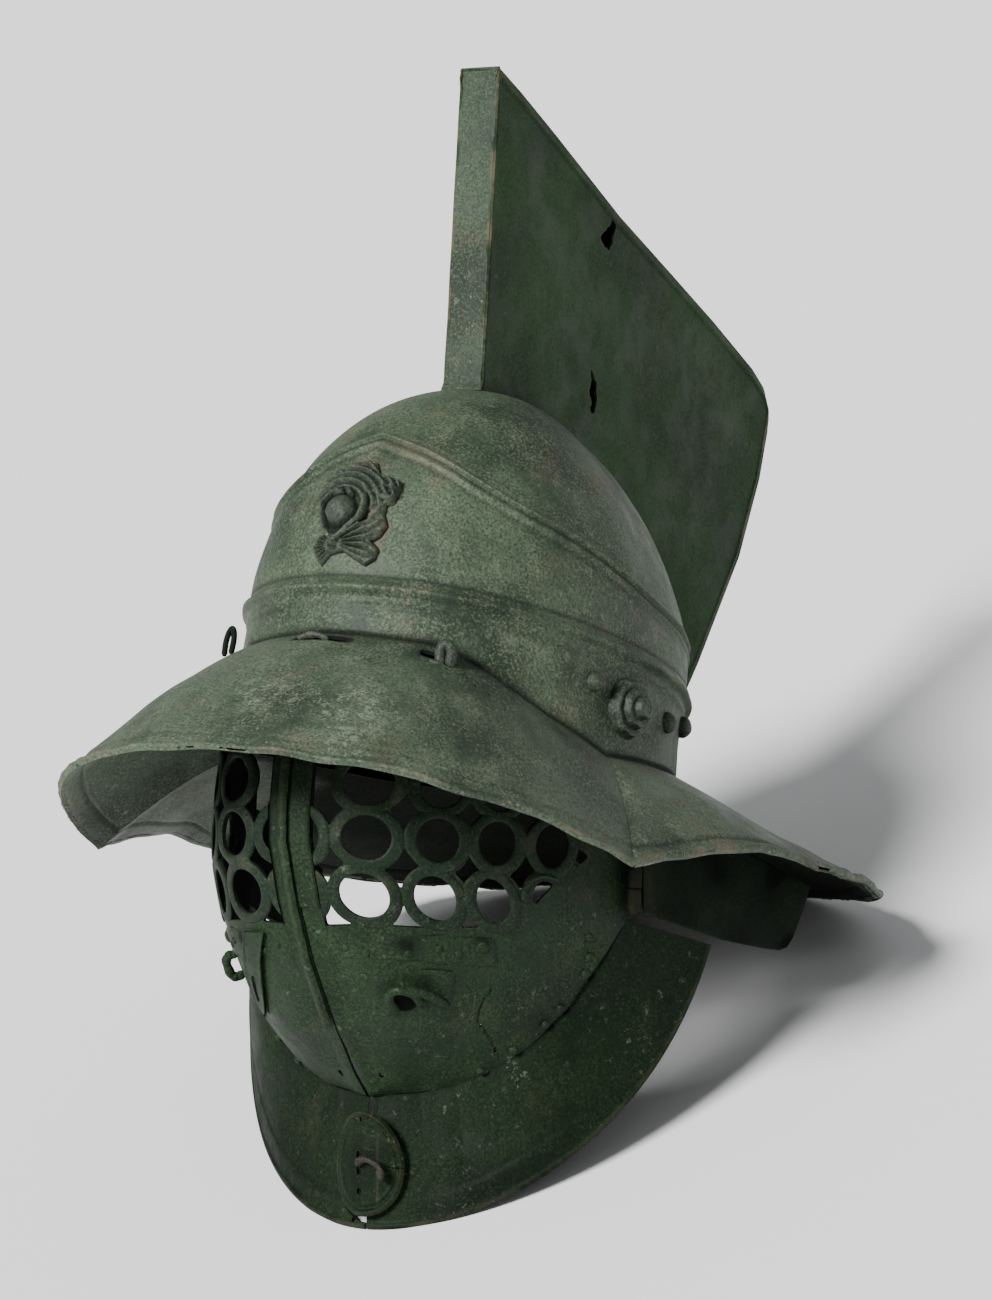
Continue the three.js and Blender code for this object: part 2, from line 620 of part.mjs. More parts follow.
function visorPoint(t, z, lift = 0) {
  const width = visorEdgeX(z) - VISOR.seam;
  const back = along(VISOR_EDGE, 'z', z, 'y');
  const front = along(VISOR_MEDIAN, 'z', z, 'y');
  const y = back + (front - back) * (1 - t ** VISOR.power);
  const place = new THREE.Vector3(VISOR.seam + width * t, y, z);
  if (lift === 0) return place;
  const side = visorPoint(Math.min(1, t + 0.01), z).sub(visorPoint(Math.max(0, t - 0.01), z));
  const rise = visorPoint(t, z + 1).sub(visorPoint(t, z - 1));
  return place.addScaledVector(side.cross(rise).normalize(), lift);
}

const visorT = [0, 0.12, 0.26, 0.4, 0.53, 0.65, 0.76, 0.86, 0.94, 1];
const visorZ = [VISOR.topZ, -80, -98, -114, -129, -145, -160, -173, -183, -190, -193];
const visorTop = (t) => (
  8 * THREE.MathUtils.smoothstep(t, 0.3, 0.75) - 4 * THREE.MathUtils.smoothstep(t, 0.85, 1)
);
const visorBody = sheet(
  (t, z) => visorPoint(t, z === VISOR.topZ ? z + visorTop(t) : z),
  visorT,
  visorZ,
  SHEET,
  { centre: new THREE.Vector3(20, 30, -100) },
);

const leanSlope = Math.tan(radians(WORN_LEAN));
const wornLevel = (point) => (
  point.z * Math.cos(radians(WORN_LEAN)) - point.y * Math.sin(radians(WORN_LEAN))
);

// place on the visor by distance from its middle line and by height with the helmet worn level
function visorAt(distance, level, lift = 0) {
  let z = level;
  let t = 0;
  for (let round = 0; round < 4; round += 1) {
    let walked = 0;
    let before = visorPoint(0, z);
    for (let i = 1; i <= 120 && walked < distance; i += 1) {
      t = i / 120;
      const next = visorPoint(t, z);
      walked += next.distanceTo(before);
      before = next;
    }
    z += (level - wornLevel(before)) / Math.cos(radians(WORN_LEAN));
  }
  return visorPoint(t, z, lift);
}

// outline pushed through the visor along its normal in the level plane
function visorCutter(outline, distance, level) {
  const place = visorAt(distance, level);
  const side = visorAt(distance + 1, level).sub(visorAt(distance - 1, level));
  const up = new THREE.Vector3(0, -Math.sin(radians(WORN_LEAN)), Math.cos(radians(WORN_LEAN)));
  return prism(outline, place, side.cross(up).normalize(), 9, up);
}

const ellipse = (a, b, count) => circle(1, count).map((p) => ({ x: a * p.x, y: b * p.y }));
const diamond = (half) => circle(1, 8).map((p, i) => (i % 2
  ? { x: Math.sign(p.x) * DIAMOND.waist, y: Math.sign(p.y) * DIAMOND.waist }
  : { x: p.x * half, y: p.y * DIAMOND.half }));

const grilleCutters = [];
GRILLE_ROWS.forEach(({ level, columns }, row) => {
  GRILLE_COLUMNS.slice(0, columns).forEach(({ distance, half }) => {
    grilleCutters.push(visorCutter(ellipse(half, RING_HALF_HEIGHT, 12), distance, level));
  });
  if (row === 2) return;
  const between = (level + GRILLE_ROWS[row + 1].level) / 2;
  [17.5, 48, 76.5, 103].forEach((distance, i) => {
    grilleCutters.push(visorCutter(diamond(i === 0 ? 4 : DIAMOND.half - i * 0.6), distance, between));
  });
});
const visorGeometry = cut(visorBody, grilleCutters);
addPair('visor', visorGeometry, 0x44604f);

const cheekSheet = (area, columns, lift, thickness) => sheet(
  (distance, level) => visorAt(distance, level, lift + thickness),
  steps(area.from, area.to, columns),
  [area.top, (area.top + area.bottom) / 2, area.bottom],
  thickness,
  { centre: new THREE.Vector3(20, 30, -100) },
);
addPair('cheek_band', cheekSheet(BAND, 8, GAP + 0.25, 0.9), 0x4d6a58);
add('staple_plate_left', cheekSheet(STAPLE_PLATE, 4, GAP + 0.25, 1), 0x4d6a58);

// bent staple standing on the visor: up from one foot, over and down to the other
function visorStaple(distance, level, half, out, radius, lift) {
  const rise = [[-half, 0], [-half, out * 0.6], [-half * 0.55, out]];
  const rows = [...rise, ...rise.map(([up, away]) => [-up, away]).reverse()];
  return bar(rows.map(([up, away]) => visorAt(distance, level + up, lift + away)), radius, 8, 10);
}

add('staple_left', visorStaple(39.5, -137.5, 5.5, 7.5, 2.1, 2), 0x3a4f42);
add('staple_right', mirrored(visorStaple(87, -130.5, 4, 6.5, 1.7, 0.9)), 0x3a4f42);

function haspPoint(f, v) {
  const half = Math.sqrt(Math.max(0.02, 1 - (v * 0.97) ** 8)) / 2;
  const distance = HASP.from + HASP.drift * v + HASP.wide * (0.5 + (2 * f - 1) * half);
  return visorAt(distance, HASP.top + (HASP.bottom - HASP.top) * v, 2.9);
}

const hasp = sheet(haspPoint, steps(0, 1, 3), [0, 0.2, 0.4, 0.6, 0.8, 0.93, 1], 1, {
  centre: new THREE.Vector3(20, 30, -100),
});
add('hasp_right', mirrored(hasp), 0x3a4f42);

// raised rib down the seam on the wearer's right half
const seamRib = sheet(
  (f, z) => {
    const lift = GAP + 0.3 + 2 * Math.sin(Math.PI * (0.15 + 0.7 * f));
    return visorPoint((0.3 + 4.4 * f) / visorEdgeX(z), z, lift);
  },
  [0, 0.33, 0.67, 1],
  [-64, -80, -95, -110, -125, -140, -155, -170],
  1.1,
  { centre: new THREE.Vector3(20, 30, -100) },
);
add('seam_rib_right', mirrored(seamRib), 0x3a4f42);

// Throat flanges and the clasp
function flangeRim(t) {
  const a = (t * Math.PI) / 2;
  const run = FLANGE.height * (1 - Math.cos(a) ** (2 / FLANGE.power));
  const slope = radians(FLANGE.slope);
  const bow = FLANGE.bow * Math.sin((Math.PI * run) / FLANGE.height);
  return new THREE.Vector3(
    FLANGE.halfWidth * Math.sin(a) ** (2 / FLANGE.power),
    FLANGE.chinY + run * Math.cos(slope) - bow * Math.sin(slope)
      - FLANGE.chinForward * Math.exp(-((t / 0.16) ** 2)),
    FLANGE.chinZ + run * Math.sin(slope) + bow * Math.cos(slope),
  );
}

// place along the rim at the given height, found by halving
function flangeRimAt(z) {
  let [low, high] = [0, 1];
  for (let i = 0; i < 40; i += 1) {
    const middle = (low + high) / 2;
    if (flangeRim(middle).z < z) low = middle;
    else high = middle;
  }
  return low;
}

const flangeEnd = flangeRimAt(FLANGE.topZ);

// s runs from the chin up to the temple, v from the visor out to the rim
function flangePoint(s, v, lift = 0) {
  const rootZ = VISOR.chinZ + (FLANGE.topZ - VISOR.chinZ) * (1 - Math.cos((s * Math.PI) / 2)) ** 0.98;
  const root = new THREE.Vector3(visorEdgeX(rootZ), along(VISOR_EDGE, 'z', rootZ, 'y'), rootZ);
  root.x = s === 0 ? VISOR.seam : root.x + GAP + 0.3;
  root.y += 1.4;
  root.z -= 1.2 * (1 - s);
  const point = root.lerp(flangeRim(s * flangeEnd), v);
  point.x = Math.max(point.x, VISOR.seam);
  point.y -= lift;
  return point;
}

const flangeSheet = sheet(flangePoint, steps(0, 1, 14), [0, 0.33, 0.67, 1], SHEET, {
  centre: new THREE.Vector3(0, 300, -150),
});
const flangeGeometry = cut(flangeSheet, [floorBlock(FLOOR)]);
add('flange_left', flangeGeometry, 0x4d6a58);
const claspPlace = new THREE.Vector3(CLASP.x, -60, CLASP.z);
const forward = new THREE.Vector3(0, -1, 0);
const notchShape = ellipse(CLASP.halfWidth + CLASP.room, CLASP.halfHeight + CLASP.room, 20);
const claspNotch = prism(notchShape, claspPlace, forward, 90);
add('flange_right', cut(mirrored(flangeGeometry), [claspNotch]), 0x4d6a58);

// dished disc over the chin seam, wrapped on to the flanges, with a raised edge
const KEEL = [{ z: -246, y: -13.5 }, { z: -221, y: -21 }, { z: -195, y: -29.5 }];
function claspPoint(deg, r) {
  const a = radians(deg);
  const x = CLASP.x + CLASP.halfWidth * r * Math.cos(a);
  const z = CLASP.z + CLASP.halfHeight * r * Math.sin(a);
  const wrap = CLASP.wrap * (Math.sqrt(x * x + 36) - 6);
  const edge = x > 0 ? 1.6 * Math.exp(-(((r - 0.9) / 0.12) ** 2)) : 0;
  return new THREE.Vector3(x, along(KEEL, 'z', z, 'y') + wrap - CLASP.stand - edge, z);
}

const clasp = sheet(
  claspPoint,
  Array.from({ length: 20 }, (_, i) => 360 - (360 * i) / 20),
  [0, 0.4, 0.72, 0.88, 1],
  1.2,
  { closedU: true, centre: new THREE.Vector3(0, 100, -221) },
);
add('clasp_disc', clasp, 0x44604f);
add('clasp_bar', bar([
  new THREE.Vector3(-3, -27.2, -222.5), new THREE.Vector3(8.5, -26.2, -222.5),
], 2, 6, 1), 0x6b4636);

// Wing plates and hinge barrels
const hingeY = (z) => HINGE.y - leanSlope * (z - HINGE.z);
const barrelLength = (HINGE.topZ - HINGE.bottomZ) / Math.cos(radians(WORN_LEAN));
const barrel = new THREE.CylinderGeometry(HINGE.radius, HINGE.radius, barrelLength, 12);
barrel.rotateX(Math.PI / 2 + radians(WORN_LEAN));
const barrelZ = (HINGE.topZ + HINGE.bottomZ) / 2;
barrel.translate(HINGE.x, hingeY(barrelZ), barrelZ);
addPair('hinge_barrel', barrel, 0x5a5a44);

const wingAcross = new THREE.Vector3(WING.endX - HINGE.x, WING.endY - HINGE.y, 0).normalize();
const wingShape = new THREE.Shape(WING_OUTLINE.map((p) => new THREE.Vector2(p.s, p.z)));
const wingGeometry = new THREE.ExtrudeGeometry(wingShape, { depth: WING.thickness, bevelEnabled: false });
const wingFrame = new THREE.Matrix4().makeBasis(
  wingAcross,
  new THREE.Vector3(0, 0, 1),
  new THREE.Vector3().crossVectors(wingAcross, new THREE.Vector3(0, 0, 1)),
);
wingFrame.setPosition(HINGE.x, HINGE.y, 0);
wingGeometry.applyMatrix4(wingFrame);
addPair('wing', wingGeometry, 0x35493d);

// Lay the helmet back on its chin and neck guard, centred on its own foot
const rest = new THREE.Group();
rest.name = 'murmillo_helmet';
helmet.rotation.x = -radians(REST_PITCH);
rest.add(helmet);
rest.updateMatrixWorld(true);
const box = new THREE.Box3().setFromObject(rest, true);
helmet.position.set(0, -(box.min.y + box.max.y) / 2, -box.min.z);

export default rest;
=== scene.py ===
"""Murmillo helmet in aged sheet bronze, dressed over its CAD frame.

Shapes are worked out in the helmet frame in millimetres: +Z along the bowl's axis from its level
rib, the face towards -Y, the wearer's left +X. The hinge of the frame gives the way from there to
the row frame in metres. Every piece is a grid surface or a profile carried along a path.
"""

from __future__ import annotations

import json
import logging
import math
from dataclasses import dataclass, field
from enum import Enum
from typing import Optional, Sequence

import bmesh
import bpy
import numpy as np
from mathutils import Matrix, Vector

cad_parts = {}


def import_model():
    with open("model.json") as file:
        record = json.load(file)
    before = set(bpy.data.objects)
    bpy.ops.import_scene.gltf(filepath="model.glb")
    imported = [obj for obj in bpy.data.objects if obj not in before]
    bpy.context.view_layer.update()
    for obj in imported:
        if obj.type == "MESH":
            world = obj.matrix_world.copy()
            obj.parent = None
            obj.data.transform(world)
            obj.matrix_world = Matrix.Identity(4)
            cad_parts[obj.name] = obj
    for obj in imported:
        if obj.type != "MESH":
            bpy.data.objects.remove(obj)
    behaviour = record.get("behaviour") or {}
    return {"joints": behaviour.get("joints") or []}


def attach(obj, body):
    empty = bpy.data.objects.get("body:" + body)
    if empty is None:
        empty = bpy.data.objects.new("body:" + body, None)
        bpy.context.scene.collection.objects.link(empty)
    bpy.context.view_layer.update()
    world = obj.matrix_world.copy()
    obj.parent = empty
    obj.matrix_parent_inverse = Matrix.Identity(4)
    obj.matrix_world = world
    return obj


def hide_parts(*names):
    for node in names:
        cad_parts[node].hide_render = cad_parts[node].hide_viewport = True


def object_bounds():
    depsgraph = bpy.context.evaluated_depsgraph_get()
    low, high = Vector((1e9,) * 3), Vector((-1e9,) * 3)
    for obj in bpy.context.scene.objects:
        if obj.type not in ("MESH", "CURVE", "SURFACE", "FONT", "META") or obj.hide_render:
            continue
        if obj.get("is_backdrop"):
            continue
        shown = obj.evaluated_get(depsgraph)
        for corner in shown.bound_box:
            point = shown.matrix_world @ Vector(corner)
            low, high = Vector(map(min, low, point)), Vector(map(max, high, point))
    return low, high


LOG = logging.getLogger("helmet")
MM = 0.001
SHEET = 1.5
WORN_LEAN = math.radians(13.0)
HINGE_PLACE = np.array([98.8, -5.5, -94.0])

Array = np.ndarray


class Side(Enum):
    """The wearer's side that a piece belongs to; its value multiplies x."""

    LEFT = 1
    RIGHT = -1

    @property
    def word(self) -> str:
        """Name of the side in node names."""
        return self.name.lower()


class Body(Enum):
    """The three bodies of the frame."""

    SHELL = "shell"
    LEFT = "visor_half_left"
    RIGHT = "visor_half_right"


HALF = {Side.LEFT: Body.LEFT, Side.RIGHT: Body.RIGHT}


# Numbers and grids

def track(rows: Sequence[Sequence[float]], at: Array) -> Array:
    """Value of a two-column path at the given places.

    Args:
        rows: pairs of place and value, in rising order of place.
        at: places.

    Returns:
        Values, held level past both ends.
    """
    table = np.asarray(rows, float)
    return np.interp(at, table[:, 0], table[:, 1])


def spaced(start: float, *spans: tuple[float, int]) -> Array:
    """Grid lines in several spacings, the last span with its end.

    Args:
        start: The first line.
        spans: The end and the number of lines of each span, in turn.

    Returns:
        All the lines in one row.
    """
    rows = []
    for k, (end, count) in enumerate(spans):
        rows.append(np.linspace(start, end, count, endpoint=k == len(spans) - 1))
        start = end
    return np.concatenate(rows)


def smooth(low: float, high: float, value: Array) -> Array:
    """Smooth step from 0 at low to 1 at high: 3f^2 - 2f^3."""
    f = np.clip((np.asarray(value, float) - low) / (high - low), 0.0, 1.0)
    return f * f * (3.0 - 2.0 * f)


def bell(value: Array, centre: float, width: float) -> Array:
    """Bell curve exp(-((value - centre) / width)^2)."""
    return np.exp(-(((np.asarray(value, float) - centre) / width) ** 2))


def ripple(points: Array, length: float, seed: int) -> Array:
    """Smooth noise in -1 to 1: the mean of ten sine waves in random directions.

    Args:
        points: (..., 3) places in mm.
        length: wavelength in mm.
        seed: chooses the waves.

    Returns:
        (...) noise.
    """
    draw = np.random.default_rng(seed)
    count = 10
    ways = draw.normal(size=(count, 3))
    ways /= np.linalg.norm(ways, axis=1, keepdims=True)
    reach = 2.0 * np.pi / (length * draw.uniform(0.7, 1.6, count))
    phase = draw.uniform(0.0, 2.0 * np.pi, count)
    waves = np.sin(points @ (ways * reach[:, None]).T + phase)
    return waves.sum(axis=-1) / math.sqrt(count)


def unit(vectors: Array) -> Array:
    """Vectors scaled to length 1."""
    return vectors / np.maximum(np.linalg.norm(vectors, axis=-1, keepdims=True), 1e-9)


def grid_normals(points: Array, closed: bool) -> Array:
    """Normals of a grid surface, from its row direction crossed with its column direction.

    Args:
        points: (rows, columns, 3) grid.
        closed: whether the last column joins the first.

    Returns:
        (rows, columns, 3) unit normals; a row drawn to a point takes its neighbour's.
    """
    down = np.gradient(points, axis=0)
    if closed:
        across = (np.roll(points, -1, axis=1) - np.roll(points, 1, axis=1)) / 2.0
    else:
        across = np.gradient(points, axis=1)
    normal = np.cross(across, down)
    for row, inner in ((0, 1), (-1, -2)):
        if np.ptp(points[row], axis=0).max() < 1e-6:
            normal[row] = unit(normal[inner]).mean(axis=0)
    return unit(normal)


@dataclass(frozen=True)
class Hole:
    """Opening through a sheet: |p/half_p|^power + |q/half_q|^power < 1 in turned axes."""

    p: float
    q: float
    half_p: float
    half_q: float
    power: float = 2.0
    turn: float = 0.0
    ragged: float = 0.0

    def measure(self, plane: Array) -> Array:
        """How far a place lies from the hole's middle, 1 on its edge.

        Args:
            plane: (..., 2) places in the sheet's own plane.

        Returns:
            (...) measure.
        """
        p = plane[..., 0] - self.p
        q = plane[..., 1] - self.q
        c, s = math.cos(self.turn), math.sin(self.turn)
        along = np.abs((p * c + q * s) / self.half_p) + 1e-9
        over = np.abs((q * c - p * s) / self.half_q) + 1e-9
        size = (along**self.power + over**self.power) ** (1.0 / self.power)
        if self.ragged:
            angle = np.arctan2(q / self.half_q, p / self.half_p)
            size = size * (1.0 + self.ragged * (np.sin(3 * angle + 1) + 0.6 * np.sin(7 * angle)))
        return size


@dataclass(frozen=True)
class RingHole(Hole):
    """Hole cut off straight at a distance from the seam."""

    start: float = 0.0

    def measure(self, plane: Array) -> Array:
        """The larger of the ellipse's measure and the line's."""
        return np.maximum(super().measure(plane), 1.0 + (self.start - plane[..., 0]) / 10.0)


@dataclass(frozen=True)
class CutHole:
    """Hole cut off below a bent line."""

    hole: Hole
    lower: tuple

    @property
    def half_p(self) -> float:
        """Half width of the hole."""
        return self.hole.half_p

    @property
    def half_q(self) -> float:
        """Half height of the hole."""
        return self.hole.half_q

    def measure(self, plane: Array) -> Array:
        """The larger of the hole's measure and the line's."""
        below = 1.0 + (track(self.lower, plane[..., 0]) + 1.2 - plane[..., 1]) / 10.0
        return np.maximum(self.hole.measure(plane), below)


NEIGHBOURS = ((0, 1), (0, -1), (1, 0), (-1, 0), (1, 1), (1, -1), (-1, 1), (-1, -1))


@dataclass(frozen=True)
class Lattice:
    """Opening between rings: all of a field that no ring's outer edge takes in."""

    rings: tuple[Hole, ...]
    lower: tuple
    upper: tuple
    start: float
    half_p: float = 5.0
    half_q: float = 5.0

    def measure(self, plane: Array) -> Array:
        """Below 1 in the opening: the largest of 1 over each ring's measure and the field's bounds.

        Args:
            plane: (..., 2) places.

        Returns:
            (...) measure.
        """
        size = np.maximum.reduce([1.0 / np.maximum(ring.measure(plane), 1e-3) for ring in self.rings])
        p, q = plane[..., 0], plane[..., 1]
        below = 1.0 + (track(self.lower, p) - q) / 12.0
        above = 1.0 + (q - track(self.upper, p)) / 12.0
        return np.maximum.reduce([size, below, above, 1.0 + (self.start - p) / 12.0])


def pierce(points: Array, plane: Array, holes: Sequence[Hole | Lattice]) -> tuple[Array, Array]:
    """Opens holes in a grid surface.

    A vertex inside a hole that has one of its eight neighbours outside is drawn towards it, to
    the hole's edge. Faces whose four corners all lie inside are dropped.

    Args:
        points: (rows, columns, 3) grid.
        plane: (rows, columns, 2) places in the plane that the holes are given in.
        holes: openings.

    Returns:
        The moved grid, and which of its faces are kept.
    """
    moved = points.copy()
    inside_any = np.zeros(points.shape[:2], bool)
    for hole in holes:
        size = hole.measure(plane)
        inside = size < 1.0
        inside_any |= inside
        best = np.full(size.shape, 2.0)
        for down, across in NEIGHBOURS:
            other = np.roll(size, (down, across), axis=(0, 1))
            place = np.roll(points, (down, across), axis=(0, 1))
            edge = inside & (other >= 1.0)
            share = np.where(edge, (1.0 - size) / np.maximum(other - size, 1e-6), 2.0)
            nearer = share < best
            best = np.where(nearer, share, best)
            shifted = points + (place - points) * np.minimum(share, 1.0)[..., None]
            moved = np.where((edge & nearer)[..., None], shifted, moved)
    full = inside_any[:-1, :-1] & inside_any[1:, :-1] & inside_any[:-1, 1:] & inside_any[1:, 1:]
    return moved, ~full


# The way from the helmet frame to the row frame

@dataclass
class HelmetFrame:
    """Place of the helmet frame in the row frame, found from the left hinge of the CAD frame."""

    pitch: float
    origin: Array

    @classmethod
    def of(cls, joints: Sequence[dict]) -> "HelmetFrame":
        """Reads the pitch from the hinge's lean and the origin from its place.

        Args:
            joints: the frame's joints.

        Returns:
            The frame.
        """
        hinge = next(joint for joint in joints if joint["name"] == "hinge_left")
        axis = np.array(hinge["axis"], float)
        pitch = math.atan2(axis[1], axis[2]) + WORN_LEAN
        turned = cls(pitch, np.zeros(3)).turn(HINGE_PLACE)
        return cls(pitch, np.array(hinge["pos_m"], float) / MM - turned)

    def turn(self, vectors: Array) -> Array:
        """Turns helmet vectors about X by minus the pitch."""
        c, s = math.cos(self.pitch), math.sin(self.pitch)
        x, y, z = vectors[..., 0], vectors[..., 1], vectors[..., 2]
        return np.stack([x, y * c + z * s, z * c - y * s], axis=-1)

    def place(self, points: Array) -> Array:
        """Row-frame places in metres of helmet places in mm, never below the floor."""
        row = (self.turn(points) + self.origin) * MM
        row[..., 2] = np.maximum(row[..., 2], 0.0002)
        return row


# Finishes

@dataclass(frozen=True)
class Patina:
    """Mottled bronze: three tones by noise, pale specks, brown patches, worn edges, and a near-black
    blend that paints grime in some places and shade in others.
    """

    name: str
    slot: str
    deep: tuple[float, float, float]
    mid: tuple[float, float, float]
    light: tuple[float, float, float]
    brown: tuple[float, float, float] = (0.135, 0.085, 0.058)
    chalk: tuple[float, float, float] = (0.22, 0.255, 0.19)
    rub: tuple[float, float, float] = (0.125, 0.098, 0.066)
    brown_share: float = 0.5
    speck_share: float = 0.5
    rough: float = 0.58
    bump: float = 0.35
    shine: float = 0.27

    def build(self) -> bpy.types.Material:
        """Makes the material once and returns it."""
        known = bpy.data.materials.get(self.name)
        if known:
            return known
        material = bpy.data.materials.new(self.name)
        material.use_nodes = True
        nodes = material.node_tree.nodes
        links = material.node_tree.links
        nodes.clear()
        place = nodes.new("ShaderNodeTexCoord").outputs["Object"]

        def noise(scale: float, detail: float, rough: float) -> bpy.types.NodeSocket:
            """Noise value at a scale per metre."""
            node = nodes.new("ShaderNodeTexNoise")
            node.inputs["Scale"].default_value = scale
            node.inputs["Detail"].default_value = detail
            node.inputs["Roughness"].default_value = rough
            links.new(place, node.inputs["Vector"])
            return node.outputs["Fac"]

        def window(value: bpy.types.NodeSocket, low: float, high: float, top: float = 1.0,
                   start: float = 0.0) -> bpy.types.NodeSocket:
            """Value mapped from low..high to start..top and held there."""
            node = nodes.new("ShaderNodeMapRange")
            node.interpolation_type = "SMOOTHSTEP"
            node.inputs["From Min"].default_value = low
            node.inputs["From Max"].default_value = high
            node.inputs["To Min"].default_value = start
            node.inputs["To Max"].default_value = top
            links.new(value, node.inputs["Value"])
            return node.outputs["Result"]

        def times(a: bpy.types.NodeSocket, b: bpy.types.NodeSocket) -> bpy.types.NodeSocket:
            """Product of two values."""
            node = nodes.new("ShaderNodeMath")
            node.operation = "MULTIPLY"
            links.new(a, node.inputs[0])
            links.new(b, node.inputs[1])
            return node.outputs[0]

        def larger(a: bpy.types.NodeSocket, b: bpy.types.NodeSocket) -> bpy.types.NodeSocket:
            """Larger of two values."""
            node = nodes.new("ShaderNodeMath")
            node.operation = "MAXIMUM"
            links.new(a, node.inputs[0])
            links.new(b, node.inputs[1])
            return node.outputs[0]

        def mark(name: str) -> bpy.types.NodeSocket:
            """Value that a mesh carries for each vertex."""
            node = nodes.new("ShaderNodeAttribute")
            node.attribute_name = name
            return node.outputs["Fac"]

        def blend(under: object, over: tuple[float, float, float],
                  share: bpy.types.NodeSocket) -> bpy.types.NodeSocket:
            """Colour under covered with colour over by a share."""
            node = nodes.new("ShaderNodeMix")
            node.data_type = "RGBA"
            links.new(share, node.inputs["Factor"])
            if isinstance(under, tuple):
                node.inputs[6].default_value = (*under, 1.0)
            else:
                links.new(under, node.inputs[6])
            node.inputs[7].default_value = (*over, 1.0)
            return node.outputs[2]

        broad = noise(16.0, 7.0, 0.62)
        cloud = noise(55.0, 8.0, 0.68)
        grain = noise(420.0, 5.0, 0.7)
        patch = noise(11.0, 4.0, 0.6)
        colour = blend(self.deep, self.mid, window(broad, 0.33, 0.6))
        colour = blend(colour, self.light, window(cloud, 0.5, 0.75, 0.5))
        colour = blend(colour, self.deep, times(window(cloud, 0.48, 0.3, 0.6), window(grain, 0.35, 0.6)))
        rust = noise(23.0, 6.0, 0.7)
        brown_at = times(window(rust, 0.53, 0.68, self.brown_share), window(grain, 0.3, 0.62))
        colour = blend(colour, self.brown, brown_at)
        speck = noise(190.0, 6.0, 0.72)
        fine = noise(430.0, 5.0, 0.75)
        fleck = larger(times(window(speck, 0.6, 0.66), window(patch, 0.45, 0.62, self.speck_share)),
                       times(window(fine, 0.62, 0.68), window(rust, 0.4, 0.55, self.speck_share)))
        chalk_at = times(times(window(speck, 0.51, 0.57), window(fine, 0.45, 0.52)),
                         window(mark("chalk"), 0.04, 0.3))
        colour = blend(colour, self.chalk, larger(fleck, chalk_at))
        sand = noise(900.0, 3.0, 0.65)
        colour = blend(colour, self.light, times(window(sand, 0.5, 0.64, 0.8), window(cloud, 0.3, 0.6)))
        colour = blend(colour, self.deep, window(sand, 0.48, 0.36, 0.7))
        wear_at = times(window(mark("wear"), 0.1, 1.0, 0.7), window(cloud, 0.38, 0.58))
        colour = blend(colour, self.rub, wear_at)
        # Near-black blend by a vertex mark: grime where it follows noise, painted shade inside the
        # helmet, under the neck guard, on the wing plates and on the visor below the brim.
        dirt_and_shade_at = window(mark("dirt"), 0.0, 1.0)
        colour = blend(colour, (0.0012, 0.0022, 0.0011), dirt_and_shade_at)

        shader = nodes.new("ShaderNodeBsdfPrincipled")
        shader.inputs["Metallic"].default_value = 0.05
        shader.inputs["Specular IOR Level"].default_value = self.shine
        links.new(colour, shader.inputs["Base Color"])
        rough = window(cloud, 0.3, 0.7, min(0.95, self.rough + 0.16), self.rough - 0.1)
        links.new(larger(rough, window(mark("dirt"), 0.2, 0.7)), shader.inputs["Roughness"])
        under = None
        for source, strength, reach in ((sand, 0.5, 0.00016), (grain, 0.7, 0.0003), (speck, 0.8, 0.0004),
                                        (cloud, 0.5, 0.0010)):
            bump = nodes.new("ShaderNodeBump")
            bump.inputs["Strength"].default_value = min(1.0, strength * self.bump / 0.35)
            bump.inputs["Distance"].default_value = reach
            links.new(source, bump.inputs["Height"])
            if under:
                links.new(under, bump.inputs["Normal"])
            under = bump.outputs["Normal"]
        links.new(under, shader.inputs["Normal"])
        out = nodes.new("ShaderNodeOutputMaterial")
        links.new(shader.outputs["BSDF"], out.inputs["Surface"])
        return material


GREEN = Patina("green_bronze", "bronze_patina", (0.014, 0.026, 0.014), (0.058, 0.085, 0.050),
               (0.120, 0.148, 0.094))
BRIM_GREEN = Patina("brim_bronze", "bronze_patina", (0.016, 0.028, 0.016), (0.064, 0.091, 0.056),
                    (0.130, 0.155, 0.104), brown_share=0.45, speck_share=0.75)
# Crest bronze: its own darker green, lowered further as painted shade for the side plates that face away
# from the key light; the edge strip shares it.
PLATE_GREEN = Patina("crest_bronze", "bronze_patina", (0.008, 0.022, 0.007), (0.019, 0.046, 0.015),
                     (0.030, 0.062, 0.024), brown=(0.05, 0.045, 0.025), brown_share=0.45,
                     speck_share=0.15, bump=0.2, shine=0.1)
# Darkened copy of the bronze: painted shade for the wing plates and hinge barrels under the neck guard;
# the brow loop shares this dark tone.
DARK = Patina("shaded_dark_bronze", "bronze_dark", (0.003, 0.006, 0.003), (0.007, 0.013, 0.007),
              (0.012, 0.019, 0.011), brown=(0.03, 0.022, 0.014), brown_share=0.35, speck_share=0.08,
              rub=(0.035, 0.028, 0.018), rough=0.75, shine=0.08)
CAST = Patina("cast_bronze", "bronze_dark", (0.010, 0.018, 0.011), (0.038, 0.055, 0.034),
              (0.080, 0.100, 0.064), brown_share=0.5, speck_share=0.5, bump=0.5, shine=0.4)
RUST = Patina("rusty_iron", "iron_rust", (0.006, 0.007, 0.004), (0.016, 0.016, 0.010),
              (0.034, 0.031, 0.021), brown=(0.05, 0.032, 0.019), brown_share=0.6, speck_share=0.2,
              bump=0.6)
# Visor bronze: its own darker green, lowered further as painted shade below the brim.
DARK_VISOR = Patina("visor_bronze", "bronze_patina", (0.003, 0.009, 0.003), (0.010, 0.024, 0.009),
                    (0.027, 0.049, 0.022), brown=(0.050, 0.042, 0.024), brown_share=0.45,
                    speck_share=0.3, rub=(0.06, 0.056, 0.036), shine=0.16)
